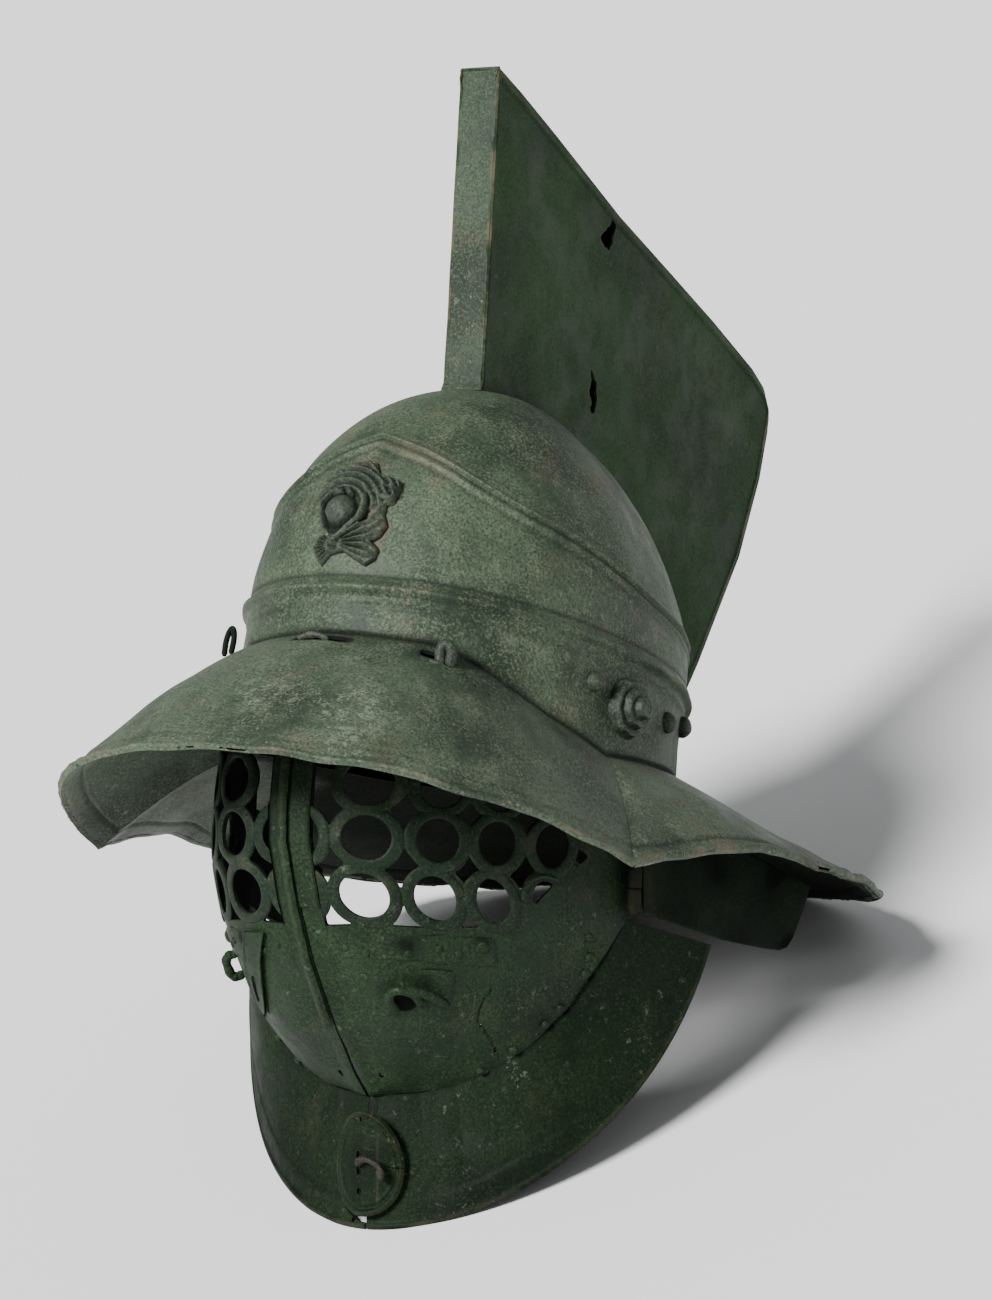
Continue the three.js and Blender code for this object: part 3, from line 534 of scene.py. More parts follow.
# Near-black bronze for the downward-facing throat flanges and the clasp disc: painted shade.
THROAT = Patina("shaded_throat_bronze", "bronze_patina", (0.001, 0.005, 0.001), (0.0042, 0.0118, 0.0036),
                (0.014, 0.026, 0.011), brown=(0.035, 0.033, 0.018), brown_share=0.4,
                speck_share=0.25, rub=(0.05, 0.046, 0.03), shine=0.1)
# Near-black bronze for the raised grille rings: painted shade.
RING_DARK = Patina("shaded_ring_bronze", "bronze_patina", (0.003, 0.008, 0.003), (0.009, 0.019, 0.009),
                   (0.026, 0.041, 0.024), brown_share=0.1, speck_share=0.25, shine=0.15)
CREST_FRONT = Patina("crest_front_bronze", "bronze_patina", (0.009, 0.018, 0.009), (0.034, 0.054, 0.030),
                     (0.074, 0.097, 0.058), brown_share=0.35)


# Meshes

@dataclass
class Grid:
    """A grid surface with its marks, ready to be given a thickness."""

    points: Array
    closed: bool = False
    keep: Optional[Array] = None
    marks: dict[str, Array] = field(default_factory=dict)

    def faces(self) -> Array:
        """Corner numbers of the kept faces, (n, 4)."""
        rows, columns = self.points.shape[:2]
        span = columns if self.closed else columns - 1
        i, j = np.meshgrid(np.arange(rows - 1), np.arange(span), indexing="ij")
        k = (j + 1) % columns
        quads = np.stack([i * columns + j, i * columns + k, (i + 1) * columns + k,
                          (i + 1) * columns + j], axis=-1)
        if self.keep is not None:
            return quads[self.keep]
        return quads.reshape(-1, 4)


def sheet_arrays(grid: Grid, thickness: float, away: Array,
                 inner_shade: Array | float = 0.0) -> tuple[Array, Array, dict[str, Array]]:
    """Closed body of even thickness behind a grid surface.

    The inner wall lies the thickness behind the outer one along its normals. Each free edge of
    the kept faces gets a wall.

    Args:
        grid: outer surface.
        thickness: in mm.
        away: a place that the outer surface faces away from.
        inner_shade: least painted shade on the inner wall, one value or one for each place.

    Returns:
        Vertices, four-cornered faces, and marks for each vertex.
    """
    points = grid.points
    normals = grid_normals(points, grid.closed)
    if np.einsum("ijk,ijk->ij", normals, points - away).mean() < 0:
        normals = -normals
    outer = points.reshape(-1, 3)
    inner = (points - normals * thickness).reshape(-1, 3)
    count = len(outer)
    faces = grid.faces()
    starts = faces.reshape(-1)
    ends = np.roll(faces, -1, axis=1).reshape(-1)
    free = ~np.isin(starts * count + ends, ends * count + starts)
    a, b = starts[free], ends[free]
    walls = np.stack([b, a, a + count, b + count], axis=-1)
    everything = np.concatenate([faces, faces[:, ::-1] + count, walls])
    marks = {key: np.tile(np.asarray(value).reshape(-1), 2) for key, value in grid.marks.items()}
    dirt = marks.setdefault("dirt", np.zeros(2 * count))
    # Painted shade inside: the near-black mark on the inner wall is raised to at least the given value.
    dirt[count:] = np.maximum(dirt[count:], np.reshape(inner_shade, -1))
    return np.concatenate([outer, inner]), everything, marks


def tube_arrays(path: Array, radius: Array | float, sides: int = 12, closed: bool = False,
                flat: float = 1.0) -> tuple[Array, Array, dict[str, Array]]:
    """Round bar along a path, its ends domed.

    Ring i lies round path[i] at radius[i] in the plane square to the path.

    Args:
        path: (n, 3) middle line in mm.
        radius: of the bar, one value or one for each place.
        sides: corners of the ring.
        closed: whether the path joins up.
        flat: height of the section as a share of its width.

    Returns:
        Vertices, faces and marks.
    """
    path = np.asarray(path, float)
    sizes = np.full(len(path), radius, float) if np.isscalar(radius) else np.asarray(radius, float)
    if not closed:
        first = path[0] - unit(path[1] - path[0]) * sizes[0] * np.array([[1.0], [0.8]])
        last = path[-1] + unit(path[-1] - path[-2]) * sizes[-1] * np.array([[0.8], [1.0]])
        path = np.concatenate([first, path, last])
        sizes = np.concatenate([[1e-4, sizes[0] * 0.6], sizes, [sizes[-1] * 0.6, 1e-4]])
        way = np.gradient(path, axis=0)
    else:
        way = np.roll(path, -1, axis=0) - np.roll(path, 1, axis=0)
    way = unit(way)
    aid = np.array([0.0, 0.0, 1.0]) if np.abs(way[:, 2]).mean() < 0.8 else np.array([1.0, 0.0, 0.0])
    across = unit(np.cross(way, aid))
    up = np.cross(across, way)
    angle = np.linspace(0.0, 2.0 * np.pi, sides, endpoint=False)
    ring = (across[:, None] * np.cos(angle)[:, None] + up[:, None] * np.sin(angle)[:, None] * flat)
    points = path[:, None] + ring * sizes[:, None, None]
    if closed:
        points = np.concatenate([points, points[:1]])
    grid = Grid(points, closed=True)
    return points.reshape(-1, 3), grid.faces(), {}


def joined(parts: Sequence[tuple[Array, Array, dict[str, Array]]]) -> tuple[Array, Array, dict]:
    """Several bodies as one set of arrays.

    Args:
        parts: vertices, faces and marks of each.

    Returns:
        Vertices, faces and marks of all; a mark that a body lacks is 0 on it.
    """
    names = sorted({name for part in parts for name in part[2]})
    offset = 0
    faces = []
    for points, quads, _ in parts:
        faces.append(quads + offset)
        offset += len(points)
    marks = {
        name: np.concatenate([part[2].get(name, np.zeros(len(part[0]))) for part in parts])
        for name in names
    }
    return np.concatenate([part[0] for part in parts]), np.concatenate(faces), marks


@dataclass
class Workshop:
    """Turns arrays into dressed pieces of the frame."""

    helmet: HelmetFrame
    box: Array

    def piece(self, name: str, body: Body, finish: Patina,
              arrays: tuple[Array, Array, dict[str, Array]], nodes: Sequence[str] = (),
              side: Side = Side.LEFT) -> bpy.types.Object:
        """Makes one piece, faces out, and hangs it on its body.

        Args:
            name: of the piece.
            body: that it rides on.
            finish: its finish.
            arrays: vertices in mm in the helmet frame, faces, marks.
            nodes: CAD nodes that it stands for.
            side: RIGHT mirrors it in x.

        Returns:
            The object.
        """
        points, faces, marks = arrays
        points = points * np.array([side.value, 1.0, 1.0])
        mesh = bpy.data.meshes.new(name)
        inside = np.clip(self.helmet.place(points), self.box[0], self.box[1])
        mesh.from_pydata(inside.tolist(), [], faces.tolist())
        for key in ("wear", "dirt", "chalk"):
            layer = mesh.attributes.new(key, "FLOAT", "POINT")
            layer.data.foreach_set("value", np.clip(marks.get(key, np.zeros(len(points))), 0, 1)
                                   .astype(np.float32))
        work = bmesh.new()
        work.from_mesh(mesh)
        bmesh.ops.remove_doubles(work, verts=work.verts, dist=3e-6)
        bmesh.ops.dissolve_degenerate(work, edges=work.edges, dist=1e-7)
        if work.calc_volume(signed=True) < 0:
            bmesh.ops.reverse_faces(work, faces=work.faces)
        work.to_mesh(mesh)
        work.free()
        mesh.polygons.foreach_set("use_smooth", np.ones(len(mesh.polygons), bool))
        mesh.set_sharp_from_angle(angle=math.radians(42.0))
        mesh.materials.append(finish.build())
        thing = bpy.data.objects.new(name, mesh)
        bpy.context.scene.collection.objects.link(thing)
        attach(thing, body.value)
        if nodes:
            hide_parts(*nodes)
        LOG.info("%s: %d faces", name, len(mesh.polygons))
        return thing


# Bowl

@dataclass
class Bowl:
    """Domed bowl with a level rib and a gabled double rib, worn and a little dented."""

    shop: Workshop
    half_width: float = 89.0
    front: float = 113.0
    back: float = 108.0
    height: float = 115.0
    front_power: float = 2.3
    side_power: float = 1.7
    gable: tuple = ((0, 70), (20, 61), (34, 50.5), (47, 43.5), (67, 37), (87, 28.5), (107, 23.5),
                    (180, 19))
    edge: tuple = ((0, -20), (32, -21), (45, -29), (59, -38), (77, -45.5), (90, -41), (110, -36),
                   (180, -24))

    def power(self, deg: Array) -> Array:
        """Power of the dome's upright section: rounder at the sides than in front."""
        ahead = np.maximum(0.0, np.cos(np.radians(deg)))
        return self.side_power + (self.front_power - self.side_power) * ahead

    def scale(self, deg: Array, z: Array) -> Array:
        """Plan size at a height: (1 - (z/height)^p)^(1/p), and 1 below the rib."""
        p = self.power(deg)
        f = np.clip(np.asarray(z, float) / self.height, 0.0, 1.0)
        return np.maximum(0.0, 1.0 - f**p) ** (1.0 / p)

    def point(self, deg: Array, z: Array, rise: Array | float = 0.0) -> Array:
        """Place on the bowl.

        Args:
            deg: angle from the front, the wearer's left positive.
            z: height.
            rise: distance out of the plain surface, level.

        Returns:
            (..., 3) places.
        """
        a = np.radians(deg)
        size = self.scale(deg, z)
        length = np.where(np.cos(a) > 0, self.front, self.back)
        x = self.half_width * size * np.sin(a)
        y = -length * size * np.cos(a)
        out = unit(np.stack([x / self.half_width, y / length, np.zeros_like(x)], axis=-1))
        base = np.stack([x, y, np.broadcast_to(z, x.shape)], axis=-1)
        return base + out * np.asarray(rise)[..., None]

    def top(self, x: Array, y: Array) -> Array:
        """Height of the outside above a plan place."""
        length = np.where(y < 0, self.front, self.back)
        size = np.hypot(x / self.half_width, y / length)
        p = self.power(np.degrees(np.arctan2(x / self.half_width, -y / length)))
        return self.height * np.maximum(0.0, 1.0 - np.minimum(size, 1.0) ** p) ** (1.0 / p)

    def edge_z(self, deg: Array) -> Array:
        """Height of the edge where the brim joins."""
        return track(self.edge, np.abs(deg))

    def gable_z(self, deg: Array) -> Array:
        """Height of the gabled rib."""
        return track(self.gable, np.abs(deg))

    def seat(self, deg: float, z: float) -> tuple[Array, Array, Array, Array]:
        """Place, level direction, upward direction and normal of the plain surface there."""
        spots = self.point(np.array([deg, deg - 1, deg + 1, deg]), np.array([z, z, z, z + 1]))
        normal = unit(np.cross(spots[2] - spots[1], spots[3] - spots[0]))
        across = unit(np.cross(np.array([0.0, 0.0, 1.0]), normal))
        return spots[0], across, np.cross(normal, across), normal

    def build(self) -> None:
        """Rows run from the edge over both ribs to the top; the ribs rise as bell curves."""
        deg = np.linspace(-180.0, 180.0, 330, endpoint=False)
        ridge = self.gable_z(deg)
        soft = (ridge + np.roll(ridge, 3) + np.roll(ridge, -3)) / 3.0
        ridge = ridge + (soft - ridge) * smooth(4.0, 9.0, np.abs(deg))
        edge = self.edge_z(deg) - 2.0
        rows = [edge + (-8.0 - edge) * f for f in np.linspace(0, 1, 12, endpoint=False)]
        rows += [np.full_like(deg, z) for z in np.linspace(-8.0, 8.0, 26, endpoint=False)]
        rows += [8.0 + (ridge - 9.0 - 8.0) * f for f in np.linspace(0, 1, 16, endpoint=False)]
        rows += [ridge + s for s in np.linspace(-9.0, 9.0, 32, endpoint=False)]
        p = self.power(deg)
        start = self.scale(deg, ridge + 9.0)
        rows += [self.height * (1 - (start * f) ** p) ** (1 / p) for f in np.linspace(1, 0, 56)]
        z = np.stack(rows)
        angle = np.broadcast_to(deg, z.shape)
        above = z - ridge
        rib = 3.0 * bell(z, 0.0, 2.7) + 0.7 * bell(z, -5.2, 1.3)
        peak = 2.2 * bell(above, 1.6, 1.35) + 1.3 * bell(above, -2.6, 1.3)
        flat = self.point(angle, z)
        hit = ripple(flat, 62.0, 3) * 0.55 + ripple(flat, 23.0, 4) * 0.2 - 0.5
        wavy = 1.0 + 0.18 * ripple(flat, 34.0, 5)
        rise = (rib + peak) * wavy + hit
        points = self.point(angle, z, rise)
        points[-1] = points[-1].mean(axis=0)
        groove = np.maximum.reduce([
            bell(z, 5.2, 1.5), bell(z, -8.0, 1.3) * 0.6, bell(above, -0.5, 1.0),
            bell(above, 6.0, 1.6) * 0.5, bell(above, -6.3, 1.5) * 0.7,
        ])
        foot = bell(z - self.edge_z(angle), 0.0, 3.5)
        high = np.maximum(bell(z, 0.4, 1.6), bell(above, 2.2, 1.2)) * 0.8
        pinkish = bell(angle, 12.0, 16.0) * bell(above, -3.0, 9.0)
        # Darker in the grooves beside the ribs and at the brim's foot.
        grid = Grid(points, closed=True, marks={
            "dirt": np.maximum(groove * 0.55, foot * 0.75),
            "wear": np.maximum(high * (0.15 + 0.35 * ripple(flat, 15.0, 6)), pinkish * 0.7),
            "chalk": bell(z, -14.0, 9.0) * 0.11 + bell(z, 12.0, 14.0) * 0.09,
        })
        # The inside is painted near-black as shade: 0.92 of the dark mark on the inner wall.
        arrays = sheet_arrays(grid, SHEET, np.array([0.0, 0.0, 20.0]), 0.92)
        self.shop.piece("bronze_bowl", Body.SHELL, GREEN, arrays, ["bowl"])


# Brim

@dataclass
class Brim:
    """Broad brim in two sheets that meet in a crease over each cheek."""

    shop: Workshop
    bowl: Bowl
    crease_deg: float = 77.0
    crease_z: float = -100.0
    peak_half: float = 135.2
    peak_reach: float = 183.5
    peak_offset: float = -2.3
    peak_power: float = 2.34
    peak_front_z: float = -88.3
    peak_end: float = 74.0
    bulge: float = 5.5
    guard_half: float = 154.0
    guard_reach: float = 206.0
    guard_power: float = 3.1
    guard_start: float = 80.5
    shoulder: tuple = ((-64, 130.8), (-50, 136), (-26, 141), (-4, 146), (20, 150), (50, 153),
                       (70, 155))
    guard_rim_z: tuple = ((-63.5, -100), (-50, -94), (-31, -87.3), (-5, -78.3), (11, -73.5),
                          (27, -71), (50, -69.5), (97, -64.5), (135, -60), (177, -52), (206, -44))

    @staticmethod
    def plan(deg: Array, half: float, reach: float, power: float) -> tuple[Array, Array]:
        """Plan curve x = half sin^(2/power), y = -reach cos^(2/power), signs kept."""
        a = np.radians(deg)
        s, c = np.sin(a), np.cos(a)
        x = half * np.sign(s) * np.abs(s) ** (2 / power)
        return x, -reach * np.sign(c) * np.abs(c) ** (2 / power)

    def peak_rim(self, s: Array) -> Array:
        """Rim of the peak; s runs from -1 on the right to 1 on the left."""
        x, y = self.plan(s * self.peak_end, self.peak_half, self.peak_reach, self.peak_power)
        z = self.peak_front_z + (self.crease_z - self.peak_front_z) * s * s
        return np.stack([x, y + self.peak_offset, z], axis=-1)

    def guard_rim(self, s: Array) -> Array:
        """Rim of the neck guard; s runs from -1 at the right crease over 0 at the nape to 1."""
        t = 1.0 - np.abs(s)
        deg = self.guard_start + (180.0 - self.guard_start) * t
        x, y = self.plan(deg, self.guard_half, self.guard_reach, self.guard_power)
        y = np.maximum(y, self.peak_rim(np.array(1.0))[1])
        x = np.minimum(x, track(self.shoulder, y))
        return np.stack([np.where(s < 0, -x, x), y, track(self.guard_rim_z, y)], axis=-1)

    def root(self, deg: Array) -> Array:
        """Foot of the brim on the bowl, 0.35 mm off it."""
        return self.bowl.point(deg, self.bowl.edge_z(deg), 0.35)

    def surface(self, foot: Array, rim: Array, v: Array, bulge: Array | float, calm: Array,
                seed: int) -> tuple:
        """Straight from foot to rim with a bulge, an edge band, and waves that grow outwards.

        Args:
            foot: (columns, 3) places on the bowl.
            rim: (columns, 3) places on the rim.
            v: (rows,) share of the way out.
            bulge: greatest height of the curve above the straight line, one or one a column.
            calm: (columns,) share of the waves, 0 at the creases so that both sheets meet there.
            seed: for the waves.

        Returns:
            The grid, and each place's distance from the rim.
        """
        share = v[:, None, None]
        points = foot[None] + (rim - foot)[None] * share
        width = np.linalg.norm(rim - foot, axis=-1)
        from_rim = (1.0 - v)[:, None] * width[None]
        lift = np.sin(np.pi * v**0.85)[:, None] * bulge
        wave = ripple(points, 70.0, seed) * 0.9 + ripple(points, 26.0, seed + 1) * 0.35
        lift = lift + calm * (wave - 0.7) * smooth(0.1, 0.7, v)[:, None] * smooth(0, 6, from_rim)
        lift = lift + calm * ripple(points, 34.0, seed + 2) * 0.7 * smooth(9, 0, from_rim)
        lift = lift - 0.7 * smooth(11.5, 9.5, from_rim) + 0.5 * bell(from_rim, 10.6, 1.1)
        points[..., 2] += lift
        return points, from_rim

    @staticmethod
    def round_slots(plane: Array, slots: Sequence[Hole]) -> Array:
        """Darkening round slots, from 0.9 at the edge to 0 at 1.35 times their size."""
        return np.maximum.reduce([0.9 * smooth(1.35, 1.0, slot.measure(plane)) for slot in slots])

    def bead(self, rim_row: Array, radius: float, flat: float) -> tuple:
        """Folded bead along a rim, its middle line drawn in by its radius."""
        steps = np.arange(len(rim_row))
        swell = radius * (1.0 + 0.10 * np.sin(steps * 0.37) + 0.08 * np.sin(steps * 1.13))
        arrays = tube_arrays(rim_row, swell, sides=10, flat=flat)
        marks = 0.35 + 0.5 * ripple(arrays[0], 12.0, 41)
        return arrays[0], arrays[1], {"wear": np.clip(marks, 0, 1),
                                      "dirt": 0.25 * np.clip(ripple(arrays[0], 9.0, 42), 0, 1)}

    def build(self) -> None:
        """Both sheets with their slots, holes and beads."""
        v = spaced(0, (0.8, 56), (1, 34))
        s = np.linspace(-1, 1, 460)
        points, from_rim = self.surface(self.root(s * self.crease_deg), self.peak_rim(s), v,
                                        self.bulge, smooth(1.0, 0.93, np.abs(s)), 11)
        holes = [
            Hole(2.5, -119.4, 12.5, 2.3, 6.0), Hole(49.5, -106.6, 6.5, 2.6, 5.0, 0.46),
            Hole(-74.0, -163.0, 2.6, 2.0, 2.0, 0.4, 0.12), Hole(66.5, -100.5, 1.2, 1.0),
            Hole(71.0, -96.5, 2.6, 0.7, 2.0, 0.9),
        ]
        points, keep = pierce(points, points[..., :2], holes)
        near_foot = smooth(7.0, 0.0, v[:, None] * np.linalg.norm(points[-1] - points[0], axis=-1))
        flat = ripple(points, 48.0, 12)
        band = bell(from_rim, 26.0, 24.0) * (0.4 + 0.9 * flat)
        marks = {
            "dirt": np.maximum.reduce([near_foot * 0.55, bell(from_rim, 9.4, 0.9) * 0.35,
                                       self.round_slots(points[..., :2], holes[:2])]),
            "chalk": np.clip(band * smooth(-0.9, -0.2, -np.abs(s))[None], 0, 1) * 0.19,
            "wear": np.clip(bell(from_rim, 10.8, 0.8) * 0.4 + near_foot * 0.25, 0, 1),
        }
        grid = Grid(points, keep=keep, marks=marks)
        away = np.array([0.0, 0.0, -500.0])
        inward = unit(points[-8] - points[-1])
        bead = self.bead(points[-1] + inward * 1.5, 1.6, 0.85)
        parts = [sheet_arrays(grid, SHEET, away), bead]
        self.shop.piece("peak", Body.SHELL, BRIM_GREEN, joined(parts), ["front_brim"])

        s = np.linspace(-1, 1, 560)
        side = np.where(s < 0, -1.0, 1.0)
        t = 1.0 - np.abs(s)
        deg = side * (self.crease_deg + (180.0 - self.crease_deg) * t)
        rim = self.guard_rim(s)
        rim[:, 1] += 0.1 * (1.0 - smooth(0, 0.1, t))
        foot = self.root(deg)
        foot[:, 1] += 0.1 * (1.0 - smooth(0, 0.1, t))
        points, from_rim = self.surface(foot, rim, v, self.bulge * smooth(0.16, 0.0, t),
                                        smooth(0.0, 0.05, t), 21)
        slits = [
            Hole(96.0, -28.0, 3.2, 0.8, 3.0, 0.5), Hole(112.0, 8.0, 3.6, 0.9, 3.0, 0.9),
            Hole(124.0, 62.0, 4.2, 1.0, 3.0, 1.2), Hole(-122.0, 20.0, 9.0, 0.8, 3.0, -1.1),
        ]
        points, keep = pierce(points, points[..., :2], slits)
        near_foot = smooth(8.0, 0.0, v[:, None] * np.linalg.norm(points[-1] - points[0], axis=-1))
        crease = np.broadcast_to(smooth(0.04, 0.0, t), points.shape[:2])
        marks = {
            "dirt": np.maximum(near_foot * 0.75, bell(from_rim, 9.4, 0.9) * 0.5),
            "chalk": np.clip(crease * 0.2 + near_foot * 0.12 + 0.1 * ripple(points, 40.0, 23), 0, 0.2),
            "wear": np.clip(bell(from_rim, 3.0, 3.0) * 0.5 + crease * 0.3, 0, 1),
        }
        inward = unit(points[-8] - points[-1])
        bead = self.bead(points[-1] + inward * 2.0, 2.0, 0.9)
        # Painted shade on the guard's underside: darkest within the bowl's width and towards the nape.
        underside_shade = 0.75 * np.maximum(smooth(106.0, 88.0, np.abs(points[..., 0])),
                                      smooth(15.0, 60.0, points[..., 1]))
        parts = [sheet_arrays(Grid(points, keep=keep, marks=marks), SHEET, away, underside_shade), bead]
        self.shop.piece("neck_guard", Body.SHELL, BRIM_GREEN, joined(parts), ["rear_brim"])


# Crest

@dataclass
class Crest:
    """Tall flat box on the ridge: two side plates, a front strip and an edge strip."""

    shop: Workshop
    bowl: Bowl
    half_width: float = 10.0
    plate: float = 1.2
    top: tuple = ((-70, 245), (-48, 241.5), (-15, 235), (48, 221.5), (100, 213.5), (144, 206.5),
                  (186, 198.5), (199, 194), (206, 187), (209, 176))
    front: tuple = ((-70, 245), (-43, 112))
    under: tuple = ((140, 3), (150, 6), (158, 14), (177, 54), (200, 112), (208, 152), (209, 176))
    tears: tuple = ((41, 209.5, 4.0, 7.0, -0.35), (48.5, 139.5, 3.0, 7.0, 0.4),
                    (50.5, 133.0, 2.0, 3.4, -0.5), (45.0, 146.0, 1.4, 3.0, 0.9))

    def lower(self, y: Array) -> Array:
        """Lower edge of a plate: the slanting front edge, the bowl, then the back curve."""
        on_bowl = np.maximum(3.0, self.bowl.top(np.full_like(y, self.half_width), y) - 1.2)
        front = track(self.front, y)
        back = track(self.under, y)
        return np.where(y < self.front[1][0], front, np.where(y > 102.0, np.maximum(back, 3.0), on_bowl))

    def plates(self) -> None:
        """Columns by y and rows from the lower to the top edge; torn holes and a fold line."""
        y = spaced(-70, (196, 300), (209, 34))
        low, high = self.lower(y), track(self.top, y)
        v = spaced(0, (0.9, 130), (1, 24))
        z = low + (high - low) * v[:, None]
        across = np.broadcast_to(y, z.shape)
        flat = np.stack([np.full_like(z, self.half_width), across, z], axis=-1)
        dent = ripple(flat, 78.0, 31) * 0.5 + ripple(flat, 30.0, 32) * 0.15
        from_top = (high - z) * 0.97
        slant = np.interp(z, [r[1] for r in self.under], [r[0] for r in self.under])
        from_back = np.where(across > 100, (slant - across) * 0.93, 90.0)
        front_line = np.interp(z, [112, 245], [-43, -70])
        from_front = (across - front_line) * 0.98
        near = np.minimum(np.minimum(from_top, from_back), from_front)
        bead = 0.55 * bell(np.minimum(from_top, from_back), 4.2, 0.9)
        flat[..., 0] += dent * smooth(0, 18, near) + bead - 0.8 * bell(near, 0.0, 1.1)
        holes = [Hole(a, b, p, q, 2.0, turn, 0.2) for a, b, p, q, turn in self.tears]
        points, keep = pierce(flat, flat[..., 1:], holes)
        torn = np.maximum.reduce([bell(h.measure(flat[..., 1:]), 1.0, 0.3) for h in holes])
        foot = smooth(14.0, 0.0, z - low) * (across < 110) * (across > -42)
        rub = np.maximum(bell(from_back, 0.0, 5.0), 0.7 * bell(from_top, 0.0, 3.0))
        marks = {
            "wear": np.clip(rub * (0.6 + 0.5 * ripple(flat, 16.0, 33)) + 0.8 * bell(from_front, 0, 2.2)
                            + 0.4 * torn, 0, 1),
            "dirt": np.clip(foot * 0.5 + bell(from_top, 5.6, 0.8) * 0.45, 0, 1),
        }
        grid = Grid(points, keep=keep, marks=marks)
        arrays = sheet_arrays(grid, self.plate, np.array([-500.0, 60.0, 150.0]))
        for side in Side:
            name = f"crest_side_{side.word}"
            self.shop.piece(name, Body.SHELL, PLATE_GREEN, arrays, [f"crest_plate_{side.word}"], side)

    def strip(self, path: Array, outward: Array, seed: int) -> tuple:
        """Strip carried along a path in the middle plane, its long edges rounded off.

        Args:
            path: (n, 3) outer middle line.
            outward: (n, 3) directions away from the box.
            seed: for its dents.

        Returns:
            Vertices, faces and marks.
        """
        x = np.concatenate([np.linspace(-1, -0.8, 7), np.linspace(-0.75, 0.75, 16),
                            np.linspace(0.8, 1, 7)]) * (self.half_width - 0.15)
        drop = 0.9 * smooth(0.86, 1.0, np.abs(x) / self.half_width) ** 2
        points = np.repeat(path[:, None], len(x), axis=1)
        points[..., 0] = x
        wave = ripple(points, 40.0, seed) * 0.25 - 0.15
        points += outward[:, None] * (wave - drop)[..., None]
        edge = bell(np.abs(x) / self.half_width, 0.97, 0.09)
        wear = np.clip(edge[None] * (0.75 + 0.5 * ripple(points, 18.0, seed + 1)), 0, 1)
        middle = path.mean(axis=0) - outward.mean(axis=0) * 60.0
        return sheet_arrays(Grid(points, marks={"wear": wear}), 1.1, middle)

    def strips(self) -> None:
        """Front strip with a small lip at its foot, and the strip over the top and back."""
        f = np.linspace(0, 1, 110)[:, None]
        foot = np.array([0.0, -42.4, float(self.bowl.top(np.array(0.0), np.array(-42.4))) - 0.6])
        head = np.array([0.0, -70.0, 245.0])
        path = foot + (head - foot) * f
        out = unit(np.cross(head - foot, np.array([1.0, 0.0, 0.0])))
        out = out if out[1] < 0 else -out
        outward = np.broadcast_to(out, path.shape).copy()
        path = path + outward * (2.0 * bell(f, 0.0, 0.018) + 0.1)
        self.shop.piece("crest_front", Body.SHELL, CREST_FRONT, self.strip(path, outward, 35),
                        ["crest_front_strip"])
        knots = np.array(self.top + tuple(reversed(self.under))[1:], float)
        gone = np.concatenate([[0], np.cumsum(np.linalg.norm(np.diff(knots, axis=0), axis=1))])
        at = np.linspace(0.4, gone[-1], 300)
        line = np.stack([np.zeros(300), np.interp(at, gone, knots[:, 0]),
                         np.interp(at, gone, knots[:, 1])], axis=-1)
        way = unit(np.gradient(line, axis=0))
        outward = np.stack([np.zeros(300), -way[:, 2], way[:, 1]], axis=-1)
        line = line - outward * 0.15
        self.shop.piece("crest_edge", Body.SHELL, PLATE_GREEN, self.strip(line, outward, 37),
                        ["crest_edge_strip"])

    def build(self) -> None:
        """Plates, then strips."""
        self.plates()
        self.strips()


# Cast ornaments on the bowl

